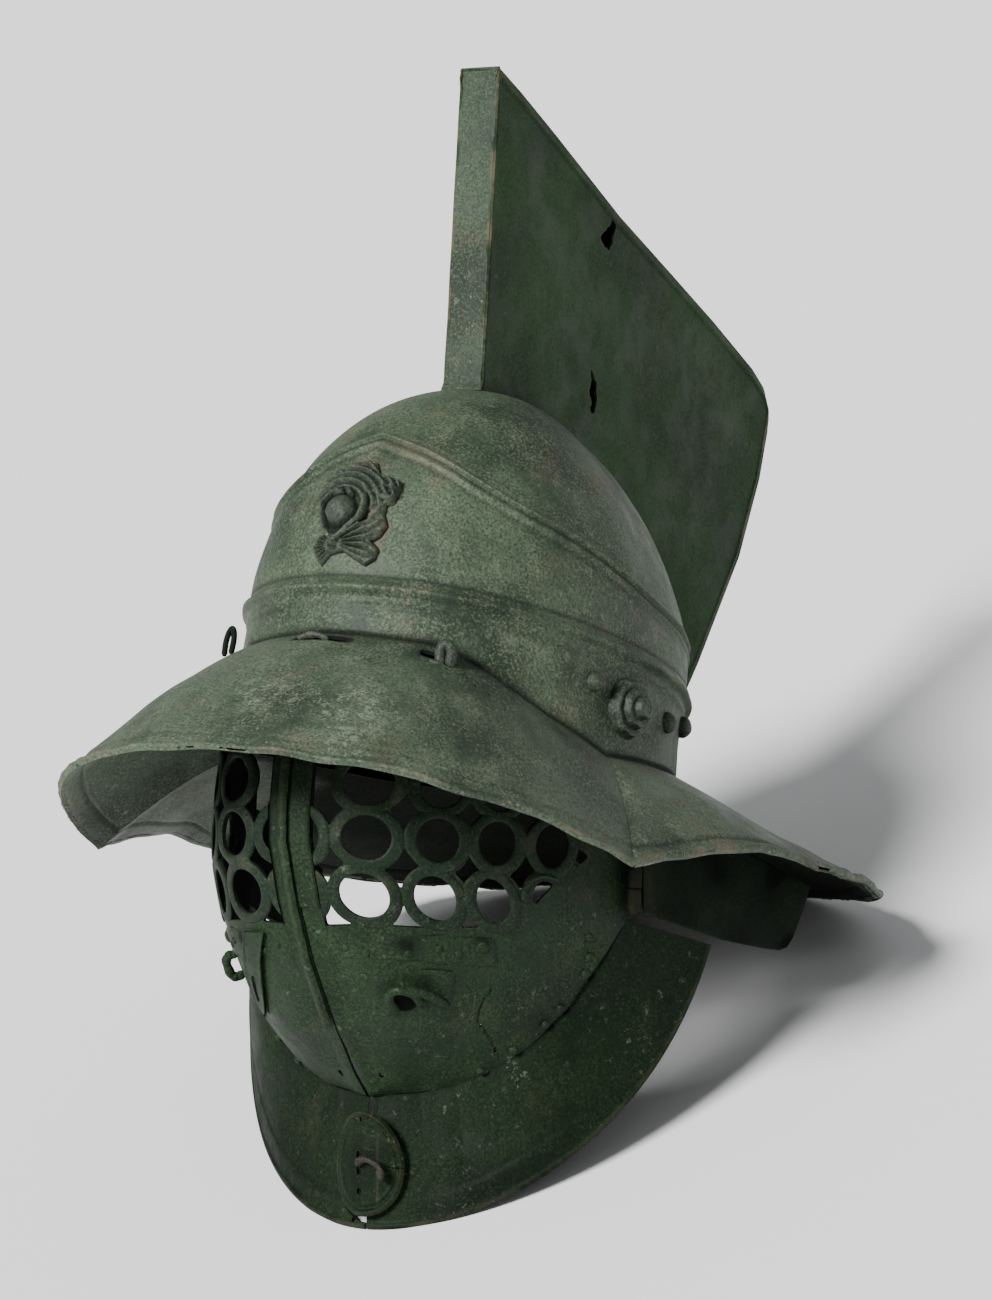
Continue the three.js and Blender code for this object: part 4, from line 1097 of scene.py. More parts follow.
@dataclass
class Ornaments:
    """Brow relief, studs and stepped rosettes."""

    shop: Workshop
    bowl: Bowl
    relief_at: tuple = (1.5, 32.0)
    ball: tuple = (-6.4, 0.6)
    knot: tuple = (-5.9, -14.5)
    pocket: tuple = ((5.8, 5.8), (6.8, 2.0), (5.6, -2.5))
    outline: tuple = (
        (-13.1, 21.2), (-6, 25), (-1.3, 25.7), (2.5, 24.5), (5.5, 19), (12.5, 17.5), (16.5, 15.5),
        (17.2, 12), (16, 5.3), (13.1, 4.2), (13.2, 0), (15.5, -5.2), (13.5, -10), (10.1, -12.4),
        (14.2, -15.8), (13.7, -20.2), (9.7, -23.3), (4, -20.5), (-1.5, -17.5), (-7.5, -19.2),
        (-11.1, -23.9), (-15.1, -20.2), (-17.3, -15.5), (-15.7, -10.8), (-12.5, -9.1),
        (-17.6, 0.5), (-20.8, 8.3), (-18, 15.5),
    )
    ridges: tuple = (
        (((3.2, 6.6), (4.0, 1.5), (2.6, -3.7), (-1.5, -8.5), (-4, -12)), 1.7, 4.8),
        (((-18.5, 9), (-16, 1), (-12.5, -7), (-8, -12)), 1.5, 3.6),
        (((-10.5, 9.0), (-8.0, 8.5)), 2.4, 5.6), (((-4.5, 9.5), (-3.0, 8.0)), 2.0, 5.0),
    )
    bosses: tuple = (("stud_front", 71, -17, 4.2, 3.6), ("rosette", 83, -22, 12.5, 8.5),
                     ("stud_rear", 101, -18, 4.6, 4.0), ("stud_nape", 117, -12, 4.6, 3.6))

    @staticmethod
    def cap(x: Array, y: Array, cx: float, cy: float, radius: float) -> Array:
        """Round cap sqrt(1 - r^2) about a middle."""
        return np.sqrt(np.maximum(0.0, 1.0 - ((x - cx) ** 2 + (y - cy) ** 2) / radius**2))

    @staticmethod
    def fold(x: Array, y: Array, knots: Sequence[Sequence[float]], width: float) -> Array:
        """Rounded fold of cloth along a bent line: sqrt(1 - (distance / width)^2).

        Args:
            x: places across.
            y: places up.
            knots: places of the line.
            width: half width.

        Returns:
            Height from 0 to 1.
        """
        line = curve(np.array([[a, b, 0.0] for a, b in knots], float), 6)
        gap = np.full(x.shape, 1e9)
        for a, b in zip(line[:-1], line[1:]):
            way = b - a
            share = np.clip(((x - a[0]) * way[0] + (y - a[1]) * way[1]) / (way @ way), 0, 1)
            gap = np.minimum(gap, np.hypot(x - a[0] - share * way[0], y - a[1] - share * way[1]))
        return np.sqrt(np.maximum(0.0, 1.0 - (gap / width) ** 2))

    def depth(self, x: Array, y: Array) -> Array:
        """Distance inside the relief's outline, negative outside it.

        Args:
            x: places across.
            y: places up.

        Returns:
            Distance to the nearest side; its sign from the number of sides crossed by a level ray.
        """
        corners = np.array(self.outline, float)
        gap = np.full(x.shape, 1e9)
        crossed = np.zeros(x.shape, bool)
        for a, b in zip(corners, np.roll(corners, -1, axis=0)):
            way = b - a
            share = np.clip(((x - a[0]) * way[0] + (y - a[1]) * way[1]) / (way @ way), 0, 1)
            gap = np.minimum(gap, np.hypot(x - a[0] - share * way[0], y - a[1] - share * way[1]))
            spans = (a[1] > y) != (b[1] > y)
            crossed ^= spans & (x < a[0] + (y - a[1]) * way[0] / (way[1] if way[1] else 1.0))
        return np.where(crossed, gap, -gap)

    def relief_height(self, x: Array, y: Array) -> Array:
        """Worn relief: a ball under a draped cloth, folds gathered below it in a knot with a bow.

        A low ground rounded at the outline carries folds as cosine ridges: rings round the ball in
        the upper part, rays from the knot in the lower part. The ball, collar and knot stand
        higher, and the pocket beside the ball lies deeper.
        """
        depth = self.depth(x, y)
        bx, by = self.ball
        kx, ky = self.knot
        r = np.hypot(x - bx, y - by)
        ray = np.degrees(np.arctan2(y - ky, x - kx))
        reach = np.hypot(x - kx, y - ky)
        upper = smooth(-8.0, 2.0, (y - by) - 0.45 * (x - bx)) * smooth(7.5, 9.0, r)
        lower = smooth(2.5, 6.0, reach) * (1.0 - upper) * smooth(9.0, 10.0, r)
        ground = 2.9 * np.sqrt(np.clip(depth / 2.4, 0, 1))
        swirl = np.cos((r - 8.5) * 2.0 * np.pi / 3.1 + 0.03 * ray)
        folds = upper * (1.5 * bell(r, 14.0, 6.0) + 0.95 * swirl)
        folds = folds + lower * 1.0 * np.cos(ray * 2.0 * np.pi / 14.0) * smooth(0.5, 2.5, depth)
        height = ground + folds * smooth(0.0, 1.5, depth)
        lump = 1.8 * self.cap(x, y, 13.6, 11.0, 5.5) + 0.9 * np.sin(x * 1.9) * np.sin(y * 2.1) * bell(
            np.hypot(x - 13.6, y - 11.0), 0.0, 5.0)
        height = height + lump * smooth(0, 1, depth)
        height = height - 2.6 * self.fold(x, y, self.pocket, 3.2) - 1.6 * smooth(9.3, 7.6, r)
        height = height - 1.3 * bell(r, 8.6, 1.3) * smooth(3.0, -2.0, y - by)
        for knots, width, rise in self.ridges:
            height = np.maximum(height, rise * self.fold(x, y, knots, width))
        height = np.maximum(height, 7.2 * self.cap(x, y, bx, by, 7.2))
        height = np.maximum(height, 5.2 * self.cap(x, y, kx, ky, 3.0) + 0.4 * np.cos(y * 4.0))
        return np.where(depth > 0, np.maximum(height, 0.15), -0.9)

    def relief(self) -> None:
        """Height grid on the bowl: each place of the tangent plane drawn in to the bowl's surface."""
        place, across, up, _ = self.bowl.seat(*self.relief_at)
        x, y = np.meshgrid(np.linspace(-23.0, 19.5, 230), np.linspace(-26.0, 27.5, 280))
        height = self.relief_height(x, y)
        soft = (height + np.roll(height, 1, 0) + np.roll(height, -1, 0) + np.roll(height, 1, 1)
                + np.roll(height, -1, 1)) / 5.0
        plane = place + across * x[..., None] + up * y[..., None]
        deg = np.degrees(np.arctan2(plane[..., 0] / self.bowl.half_width,
                                    -plane[..., 1] / self.bowl.front))
        base = self.bowl.point(deg, plane[..., 2])
        normal = grid_normals(base, False)
        normal = normal * np.sign((normal * (base - np.array([0.0, 0.0, 20.0]))).sum(-1))[..., None]
        grain = 0.2 * ripple(np.stack([x, y, 0 * x], -1), 2.6, 51)
        points = base + normal * (soft + grain * (soft > 0))[..., None]
        round_about = sum(np.roll(soft, step, axis) for axis in (0, 1) for step in (-5, 5)) / 4.0
        hollow = np.clip(round_about - soft, 0, 2)
        keep = (self.depth(x, y) > -1.6)[:-1, :-1]
        reach = np.hypot(x - self.ball[0], y - self.ball[1])
        ball = smooth(1.0, 0.9, reach / 7.2) * 0.35
        marks = {"dirt": np.clip(hollow * 1.1 + ball + 0.5 * bell(reach, 8.6, 1.5), 0, 0.8),
                 "wear": np.clip(0.75 * smooth(1.6, 0.4, soft), 0, 0.8)}
        arrays = sheet_arrays(Grid(points, keep=keep, marks=marks), 0.3, np.array([0.0, 0.0, 20.0]))
        self.shop.piece("brow_ornament", Body.SHELL, CAST, arrays, ["brow_relief"])

    def boss(self, deg: float, z: float, profile: Array, petals: int) -> tuple:
        """Profile turned about the bowl's normal, with shallow petals.

        Args:
            deg: angle on the bowl.
            z: height on the bowl.
            profile: (n, 2) radius and height from the rim to the middle.
            petals: count of petals, or 0.

        Returns:
            Vertices, faces and marks.
        """
        place, across, up, normal = self.bowl.seat(deg, z)
        a = np.linspace(0, 2 * np.pi, 56, endpoint=False)
        radius, height = profile[:, :1], profile[:, 1:]
        lobe = 1.0 + (0.02 * np.cos(petals * a) if petals else 0.02 * np.sin(3 * a + z))
        r = radius * lobe
        points = (place + across * (r * np.cos(a))[..., None] + up * (r * np.sin(a))[..., None]
                  + normal * (height + 0 * r)[..., None])
        points += normal * (0.2 * ripple(points, 7.0, 53))[..., None]
        grid = Grid(points, closed=True)
        steep = np.abs(np.gradient(profile[:, 1])) + 0.1
        dirt = np.clip(1.2 - np.abs(np.gradient(profile[:, 0])) / steep, 0, 1) * 0.12
        marks = {"dirt": np.repeat(np.maximum(dirt, bell(profile[:, 1], 0.4, 0.6) * 0.35), 56)}
        return points.reshape(-1, 3), grid.faces(), marks

    def build(self) -> None:
        """The relief, then each boss on both sides."""
        self.relief()
        for name, deg, z, radius, height in self.bosses:
            f = np.linspace(0, 1, 40)
            if name == "rosette":
                tiers = (height / 3.0) * (np.floor(f * 2.999) + smooth(0.0, 0.35, (f * 2.999) % 1.0))
                profile = np.stack([radius * (1 - 0.93 * f) ** 0.9, tiers + 0.8 * f * f], axis=-1)
                profile[:, 1] += 0.5 * np.sin(f * 3 * np.pi) ** 2
            else:
                profile = np.stack([radius * np.cos(f * np.pi / 2), height * np.sin(f * np.pi / 2)], -1)
            base = np.array([[0.0, -4.0], [radius, -4.0], [radius, -1.0]])
            profile = np.concatenate([base, profile, [[0.0, profile[-1, 1]]]])
            arrays = self.boss(deg, z, profile, 9 if name == "rosette" else 0)
            for side in Side:
                self.shop.piece(f"cast_{name}_{side.word}", Body.SHELL, CAST, arrays,
                                [f"{name}_{side.word}"], side)


def curve(knots: Sequence[Sequence[float]], count: int) -> Array:
    """Smooth path through knots, by Catmull-Rom pieces.

    Args:
        knots: places.
        count: places on each piece.

    Returns:
        (n, 3) path.
    """
    p = np.asarray(knots, float)
    p = np.concatenate([[2 * p[0] - p[1]], p, [2 * p[-1] - p[-2]]])
    t = np.linspace(0, 1, count, endpoint=False)[:, None]
    spans = []
    for a, b, c, d in zip(p[:-3], p[1:-2], p[2:-1], p[3:]):
        spans.append(0.5 * (2 * b + (c - a) * t + (2 * a - 5 * b + 4 * c - d) * t**2
                            + (3 * b - a - 3 * c + d) * t**3))
    return np.concatenate(spans + [p[-2:-1]])


@dataclass
class BrowFittings:
    """Wire loop, slot pin and staple on the brow of the brim."""

    shop: Workshop
    loop_at: tuple = (-52.0, -105.5, -26.5)
    loop_side: tuple = (0.86, -0.5, 0.0)
    loop: tuple = ((-3.2, 0), (-3.6, 5), (-2.2, 9), (0, 10.4), (2.2, 9), (3.6, 5), (3.2, 0))
    pin: tuple = ((-8.5, -119.4, -24.0), (-5, -119.9, -22.9), (0, -119.8, -22.7), (4, -119.2, -24.0))
    staple: tuple = ((51.6, -106.0, -30.5), (51.4, -106.8, -25.5), (52.6, -107.0, -22.8),
                     (54.6, -106.4, -22.8), (55.8, -105.4, -25.5), (55.6, -104.8, -29.5))

    def build(self) -> None:
        """Three bars along smooth paths."""
        across = np.array(self.loop_side)
        knots = [np.array(self.loop_at) + across * s + np.array([0, 0, up]) for s, up in self.loop]
        self.shop.piece("brow_loop", Body.SHELL, DARK, tube_arrays(curve(knots, 8), 1.25),
                        ["brow_loop_right"])
        path = curve(self.pin, 8)
        swell = 1.25 + 0.45 * bell(np.linspace(0, 1, len(path)), 0.45, 0.12)
        self.shop.piece("slot_pin", Body.SHELL, CAST, tube_arrays(path, swell, flat=0.9), ["brow_pin"])
        self.shop.piece("slot_staple", Body.SHELL, CAST,
                        tube_arrays(curve(self.staple, 8), 2.3, flat=1.0), ["brow_staple_left"])


# Visor

@dataclass
class VisorSurface:
    """Surface of one visor half, the wearer's left; t runs from the seam to the side."""

    half_width: float = 95.0
    power: float = 2.6
    edge_power: float = 1.86
    hinge_z: float = -94.0
    chin_z: float = -193.0
    top_z: float = -60.0
    seam: float = 0.35
    median: tuple = ((-193, -26), (-186, -37), (-173, -57), (-150, -83), (-129, -101), (-108, -115),
                     (-95, -119), (-78, -121.5), (-50, -121))
    edge: tuple = ((-193, -22), (-190, -16), (-185, -10.5), (-175, -7.6), (-162, -6), (-147, -4),
                   (-129, -2), (-111, 0.5), (-94, 2), (-50, -8))

    def edge_x(self, z: Array) -> Array:
        """Half width at a height: full above the hinge line, then a closing curve to the chin."""
        drop = np.clip((self.hinge_z - z) / (self.hinge_z - self.chin_z), 0.0, 1.0)
        x = self.half_width * (1 - drop**self.edge_power) ** (1 / self.edge_power)
        return np.maximum(1.5, x)

    def plain(self, t: Array, z: Array) -> Array:
        """x = seam + (X(z) - seam) t; y goes from the middle line to the edge by 1 - t^power."""
        x = self.seam + (self.edge_x(z) - self.seam) * t
        back, front = track(self.edge, z), track(self.median, z)
        y = back + (front - back) * (1 - np.clip(t, 0, 1) ** self.power)
        return np.stack(np.broadcast_arrays(x, y, np.asarray(z, float)), axis=-1)

    def point(self, t: Array, z: Array, lift: Array | float = 0.0) -> Array:
        """Place on the surface, lifted along its normal."""
        t, z = np.broadcast_arrays(np.asarray(t, float), np.asarray(z, float))
        place = self.plain(t, z)
        side = self.plain(np.minimum(t + 0.01, 1.0), z) - self.plain(np.maximum(t - 0.01, 0.0), z)
        rise = self.plain(t, z + 1.0) - self.plain(t, z - 1.0)
        return place + unit(np.cross(side, rise)) * np.broadcast_to(lift, t.shape)[..., None]

    @staticmethod
    def level(points: Array) -> Array:
        """Height with the helmet worn level."""
        return points[..., 2] * math.cos(WORN_LEAN) - points[..., 1] * math.sin(WORN_LEAN)

    def at(self, distance: Array, level: Array, lift: Array | float = 0.0) -> Array:
        """Place by distance along the sheet from the seam and by worn height.

        The height is found by four rounds of correction, each with the distance summed over a
        level cut of 90 steps.
        """
        distance, level = np.broadcast_arrays(np.asarray(distance, float), np.asarray(level, float))
        shape = distance.shape
        d, want = distance.reshape(-1), level.reshape(-1)
        steps = np.linspace(0, 1, 91)
        z = want.copy()
        t = np.zeros_like(d)
        for _ in range(5):
            cut = self.plain(steps[None], z[:, None])
            gone = np.cumsum(np.linalg.norm(np.diff(cut, axis=1), axis=-1), axis=1)
            gone = np.concatenate([np.zeros((len(d), 1)), gone], axis=1)
            low = np.clip((gone < d[:, None]).sum(axis=1) - 1, 0, 89)
            pick = np.arange(len(d))
            span = np.maximum(gone[pick, low + 1] - gone[pick, low], 1e-6)
            t = np.clip((low + (d - gone[pick, low]) / span) / 90.0, 0, 1)
            z = z + (want - self.level(self.plain(t, z))) / math.cos(WORN_LEAN)
        spread = np.broadcast_to(lift, shape).reshape(-1)
        return self.point(t, z, spread).reshape(*shape, 3)


@dataclass
class Visor:
    """Two visor halves with a grille of raised rings, riveted bands and locking fittings."""

    shop: Workshop
    skin: VisorSurface = field(default_factory=VisorSurface)
    rows: tuple = ((-54.8, 3, 0.5), (-77.0, 4, 0.3), (-100.3, 4, -3.6))
    columns: tuple = ((32.7, 10.8), (63.0, 9.8), (90.2, 9.3), (118.0, 8.8))
    stub: tuple = (3.6, 9.4)
    ring_half: float = 9.2
    ring_band: float = 5.0
    band_rise: float = 0.78
    field_low: tuple = ((0, -113.6), (24, -112.2), (60, -112.4), (88, -110.4),
                        (104, -104.5), (136, -82), (150, -72))
    field_high: tuple = ((0, -43), (90, -43), (104, -56), (118, -63.5), (131, -75), (150, -90))
    band: tuple = (9.0, 84.0, -115.5, -126.5)
    rivets: tuple = ((16, -121.5), (24.5, -123.5), (42.5, -123), (56.5, -120.5), (65.5, -122), (78, -119))
    pins: tuple = ((6.0, -181.0, 1.1), (11.5, -181.0, 1.0), (9.0, -174.5, 1.3))
    crack: tuple = ((66.3, -151.0, 0.9, 1.6, 0.4), (67.6, -154.0, 1.0, 2.2, 0.3),
                    (69.4, -157.2, 1.0, 2.4, 0.6), (71.8, -161.6, 1.1, 2.8, 0.45))
    cut_ring: tuple = ((103.0, -98.5, 0.2), (104.5, -94.5, 0.3), (108.5, -90.8, 0.3), (114.0, -89.3, 0.3),
                       (120.0, -90.3, 0.2))
    edge_rivets: tuple = ((136.5, -113.5), (136.0, -121.5), (131.5, -128.5), (114.5, -143.0),
                          (103.5, -150.0), (82.5, -161.0), (62.0, -170.0))
    crack_line: tuple = ((-164, 73.2), (-158, 70.5), (-153.5, 68), (-149.5, 65), (-146, 67.2),
                         (-140.5, 71), (-138, 75), (-135, 77.5))

    def ring_places(self) -> list[tuple[float, float, float]]:
        """Distance, worn height and half width of every whole ring and of the cut ones by the seam."""
        places = [(d + shift, level, half) for level, count, shift in self.rows
                  for d, half in self.columns[:count]]
        return places + [(self.stub[0] + shift, level, self.stub[1]) for level, _, shift in self.rows[1:]]

    def holes(self, side: Side) -> list[Hole | Lattice]:
        """Ring openings, the lattice between them, pinholes and the crack."""
        found: list[Hole | Lattice] = []
        bands = []
        for d, level, half in self.ring_places():
            bands.append(Hole(d, level, half + self.ring_band,
                              self.ring_half + self.band_rise * self.ring_band))
            if level < -95.0 and d > 100.0:
                continue
            found.append(RingHole(d, level, half, self.ring_half, start=self.band[0] + 0.8))
        cut = Hole(114.4, -100.3, 8.6, 9.0)
        found.append(CutHole(cut, self.field_low))
        found.append(Lattice(tuple(bands), self.field_low, self.field_high, self.band[0] + 0.8))
        found += [Hole(d, level, size, size) for d, level, size in self.pins]
        if side is Side.LEFT:
            found += [Hole(d, level, p, q, 2.0, turn, 0.25) for d, level, p, q, turn in self.crack]
        return found

    def half(self, side: Side) -> None:
        """Sheet of one half on a (t, z) grid, its openings found by distance and worn height."""
        t = np.linspace(0, 1, 210)
        v = np.linspace(0, 1, 205)
        top = self.skin.top_z + 8 * smooth(0.3, 0.75, t) - 4 * smooth(0.85, 1, t)
        z = top + (self.skin.chin_z - top) * (1 - (1 - v[:, None]) ** 1.12)
        share = np.broadcast_to(t, z.shape)
        flat = self.skin.plain(share, z)
        gone = np.linalg.norm(np.diff(flat, axis=1), axis=-1).cumsum(axis=1)
        gone = np.concatenate([np.zeros((len(v), 1)), gone], axis=1)
        level = self.skin.level(flat)
        dent = 0.5 * ripple(flat, 52.0, 61) + 0.2 * ripple(flat, 19.0, 62)
        calm = smooth(-104.0, -122.0, level) * smooth(0.0, 8.0, gone)
        seam_gap = 1.1 * bell(z, -186.0, 6.5) * smooth(0.9, 0.1, share)
        points = self.skin.point(share, z, (dent - 0.3) * calm)
        points[..., 0] += seam_gap
        plane = np.stack([gone, level], axis=-1)
        holes = self.holes(side)
        points, keep = pierce(points, plane, holes)
        edge = np.minimum.reduce([np.abs(h.measure(plane) - 1.0) * min(h.half_p, h.half_q)
                                  for h in holes])
        crack_at = track(self.crack_line, level) + 0.35 * np.sin(level * 0.9) * np.cos(level * 0.37)
        cut = bell(gone - crack_at, 0.0, 0.55) if side is Side.LEFT else np.zeros_like(gone)
        line = cut * smooth(-133.0, -136.0, level) * smooth(-167.0, -164.0, level)
        points += self.normal_step(share, z, -0.5 * line)
        # The sheet is painted darker above worn height -104 as shade under the brim; it is also darker
        # along its side edge and by the seam strip's edge, and the crack is a dark line.
        marks = {
            "dirt": np.clip(0.25 * smooth(-112, -104, level) + 0.8 * line + 0.3 * smooth(0.97, 1.0, share)
                            + 0.5 * bell(gone, 9.6, 0.7) * smooth(-135.0, -128.0, level), 0, 1),
            "wear": np.clip(bell(edge, 0, 1.0) * 0.25 + 0.3 * bell(share, 0.93, 0.03), 0, 1),
            "chalk": 0.06 * bell(gone, 60, 26) * bell(level, -142, 16),
        }
        grid = Grid(points, keep=keep, marks=marks)
        # The inside is painted near-black as shade: 0.92 of the dark mark on the inner wall.
        arrays = sheet_arrays(grid, SHEET, np.array([20.0, 30.0, -100.0]), 0.92)
        self.shop.piece(f"visor_sheet_{side.word}", HALF[side], DARK_VISOR, arrays,
                        [f"visor_{side.word}"], side)

    def normal_step(self, share: Array, z: Array, lift: Array) -> Array:
        """Displacement along the surface's normal."""
        return self.skin.point(share, z, lift) - self.skin.plain(share, z)

    def ring(self, distance: float, level: float, half: float, tall: float) -> tuple:
        """Raised band round one opening: a low arch carried round an ellipse.

        Args:
            distance: of its middle from the seam.
            level: worn height of its middle.
            half: half width of the opening.
            tall: half height of the opening.

        Returns:
            Vertices, faces and marks.
        """
        angle = np.linspace(0, 2 * np.pi, 52, endpoint=False)
        f = np.linspace(0, 1, 11)
        out = np.concatenate([-0.35 + (self.ring_band + 0.35) * f, [self.ring_band - 0.3, 0.2]])
        lift = np.concatenate([0.1 + 0.62 * np.sin(np.pi * f) ** 0.3, [-0.4, -0.4]])
        out, lift = np.append(out, out[0]), np.append(lift, lift[0])
        worn = 1.0 + 0.07 * np.sin(3 * angle + distance) + 0.05 * np.sin(5 * angle + level)
        d = distance + (half + out[:, None] * worn) * np.cos(angle)
        height = level + (tall + self.band_rise * out[:, None] * worn) * np.sin(angle)
        points = self.skin.at(np.maximum(d, 9.8), height, np.broadcast_to(lift[:, None], d.shape))
        grid = Grid(points, closed=True)
        top = np.clip(0.1 + 0.2 * ripple(points.reshape(-1, 3), 11.0, 63), 0, 0.35)
        return points.reshape(-1, 3), grid.faces(), {"wear": top}

    def patch(self, d0: float, d1: float, high: float, low: float, lift: float, thick: float,
              seed: int, nibble: float = 0.5, lean: float = 0.0) -> tuple:
        """Plate lying on the visor, from distance d0 to d1 and worn height high to low.

        Its rim is nibbled by noise, its face has shallow dents, and its foot is moved by lean.
        """
        f, g = np.meshgrid(np.linspace(0, 1, 60), np.linspace(0, 1, 34))
        d = d0 + (d1 - d0) * f + lean * g
        height = high + (low - high) * g
        flat = np.stack([d, height, 0 * d], axis=-1)
        rim = np.minimum(np.minimum(f, 1 - f) * abs(d1 - d0), np.minimum(g, 1 - g) * abs(high - low))
        d = d + nibble * ripple(flat, 15.0, seed) * smooth(3, 0, rim)
        height = height + nibble * ripple(flat, 17.0, seed + 1) * smooth(3, 0, rim)
        face = lift + thick + 0.15 * ripple(flat, 14.0, seed + 2) - 0.5 * smooth(1.4, 0.0, rim)
        points = self.skin.at(d, height, face)
        marks = {"wear": np.clip(smooth(1.6, 0.2, rim) * 0.2, 0, 1),
                 "dirt": np.clip(0.35 * ripple(flat, 12.0, seed + 3), 0, 1)}
        return sheet_arrays(Grid(points, marks=marks), thick, np.array([20.0, 30.0, -100.0]))

    def rivet(self, place: Array, normal: Array, radius: float) -> tuple:
        """Low round rivet head on a sheet."""
        across = unit(np.cross(normal, np.array([0.0, 0.2, 1.0])))
        up = np.cross(normal, across)
        a = np.linspace(0, 2 * np.pi, 16, endpoint=False)
        f = np.array([0.0, 1.0, 1.0, 0.92, 0.7, 0.4, 0.0])
        height = np.array([-0.6, -0.6, 0.1, 0.42, 0.72, 0.9, 0.95]) * radius * 0.62
        r = radius * f[:, None]
        points = (place + across * (r * np.cos(a))[..., None] + up * (r * np.sin(a))[..., None]
                  + normal * np.broadcast_to(height[:, None], (7, 16))[..., None])
        return points.reshape(-1, 3), Grid(points, closed=True).faces(), {}

    def rivet_at(self, distance: float, level: float, radius: float, lift: float) -> tuple:
        """Rivet head standing at a distance and worn height."""
        spots = self.skin.at(np.full(2, distance), np.full(2, level), np.array([lift, lift + 1.0]))
        return self.rivet(spots[0], unit(spots[1] - spots[0]), radius)

    def bands(self, side: Side) -> None:
        """Cross band with its rivets, the strip along the seam, and the side rivets."""
        d0, d1, high, low = self.band
        parts = [self.patch(d0, d1, high, low, -0.1, 0.55, 71, 0.35)]
        parts += [self.rivet_at(d, level, 1.8 if d < 70 else 2.8, 0.1) for d, level in self.rivets]
        self.shop.piece(f"riveted_band_{side.word}", HALF[side], DARK_VISOR, joined(parts),
                        [f"cheek_band_{side.word}"], side)
        z = np.linspace(-64.0, -131.0, 90)
        width = np.linspace(0.2, 9.4, 26)
        hatch = 0.13 * np.sin(z[:, None] * 2.4 + width * 0.9) * np.sin(width * 1.9 - z[:, None] * 0.5)
        lift = 0.95 + hatch + 0.5 * bell(width, 8.6, 0.7) + 0.4 * bell(width, 1.0, 0.8)
        lift = lift - 0.5 * smooth(0.6, 0.0, 9.4 - width)
        points = self.skin.point(width / self.skin.edge_x(z)[:, None], z[:, None] + 0 * width, lift)
        marks = {"dirt": np.clip(np.broadcast_to(0.2 + hatch * 2.0, lift.shape), 0, 1),
                 "wear": np.broadcast_to(bell(width, 8.6, 0.9) * 0.25, lift.shape)}
        strip = sheet_arrays(Grid(points, marks=marks), 0.9, np.array([20.0, 30.0, -100.0]))
        if side is Side.LEFT:
            self.shop.piece("seam_strip_left", HALF[side], DARK_VISOR, strip)
        rings = [self.ring(d, level, half, self.ring_half) for d, level, half in self.ring_places()
                 if level > -95.0 or d < 100.0]
        rings.append(tube_arrays(self.lifted(self.cut_ring), 1.7, sides=10, flat=0.6))
        self.shop.piece(f"grille_rings_{side.word}", HALF[side], RING_DARK, joined(rings), [], side)
        studs = [self.rivet_at(d, level, 1.9, 0.1) for d, level in self.edge_rivets]
        self.shop.piece(f"edge_rivets_{side.word}", HALF[side], DARK_VISOR, joined(studs), [], side)

    def staple(self, distance: float, level: float, half: float, out: float, radius: float,
               lift: float) -> tuple:
        """Bent bar: up from one foot, over and down to the other."""
        rows = ((-half, 0.0), (-half, out * 0.6), (-half * 0.55, out), (half * 0.55, out),
                (half, out * 0.6), (half, 0.0))
        knots = [self.skin.at(np.array(distance), np.array(level + up), lift + away)
                 for up, away in rows]
        path = curve(knots, 7)
        return tube_arrays(path, radius * (1 + 0.08 * np.sin(np.arange(len(path)) * 0.9)))

    def lifted(self, rows: Sequence[Sequence[float]]) -> Array:
        """Smooth path through rows of distance, worn height and lift."""
        table = np.array(rows, float)
        return curve(self.skin.at(table[:, 0], table[:, 1], table[:, 2]), 8)

    def with_painted_hole(self, arrays: tuple) -> tuple:
        """Plate arrays with a dark disc painted by its staple in place of a hole: painted shade, the
        plate is not pierced.
        """
        points, faces, marks = arrays
        middle = self.skin.at(np.array(35.4), np.array(-141.5))
        gap = np.linalg.norm(points - middle, axis=-1)
        marks["dirt"] = np.maximum(marks["dirt"], smooth(6.4, 4.6, gap))
        return points, faces, marks

    def fittings(self) -> None:
        """Square plate with its staple on the left; staple, hasp and seam rib on the right."""
        plate = self.with_painted_hole(self.patch(25.5, 61.0, -129.5, -148.5, 0.2, 0.45, 81, 0.4, -6.8))
        self.shop.piece("staple_plate", Body.LEFT, DARK_VISOR, plate, ["staple_plate_left"])
        wire = ((29.6, -146.0, 0.2), (29.2, -140.5, 3.6), (31.5, -136.0, 5.4), (36.0, -134.6, 5.8),
                (40.4, -136.6, 4.6), (41.6, -142, 0.4))
        hoop = tube_arrays(self.lifted(wire), 2.0)
        lug = tube_arrays(self.lifted(((38.0, -135.0, 5.0), (44.5, -136.2, 4.6), (50.5, -139.6, 2.8),
                                       (53.5, -143.5, 0.2))), np.linspace(2.4, 1.9, 25), flat=0.9)
        self.shop.piece("staple_near", Body.LEFT, DARK_VISOR, joined([hoop, lug]), ["staple_left"])
        self.shop.piece("staple_far", Body.RIGHT, DARK_VISOR,
                        self.staple(86.0, -130.5, 4.2, 4.2, 2.0, 0.4), ["staple_right"], Side.RIGHT)
        f, v = np.meshgrid(np.linspace(0, 1, 26), np.linspace(0, 1, 60))
        half = 0.5 * np.sqrt(np.maximum(0.02, 1 - v**6)) * (0.75 + 0.25 * v)
        along_it = 2 * f - 1
        d = 18 + 22 * v + 19 * (0.5 + along_it * half)
        level = -116 + (-150 + 116) * v
        plane = np.stack([along_it * half * 19, level], axis=-1)
        points = self.skin.at(d, level, 2.2 + 0.4 * bell(np.abs(along_it), 0.9, 0.12))
        points, keep = pierce(points, plane, [Hole(0.0, -139.0, 2.4, 5.4, 4.0)])
        hasp = sheet_arrays(Grid(points, keep=keep), 1.0, np.array([20.0, 30.0, -100.0]))
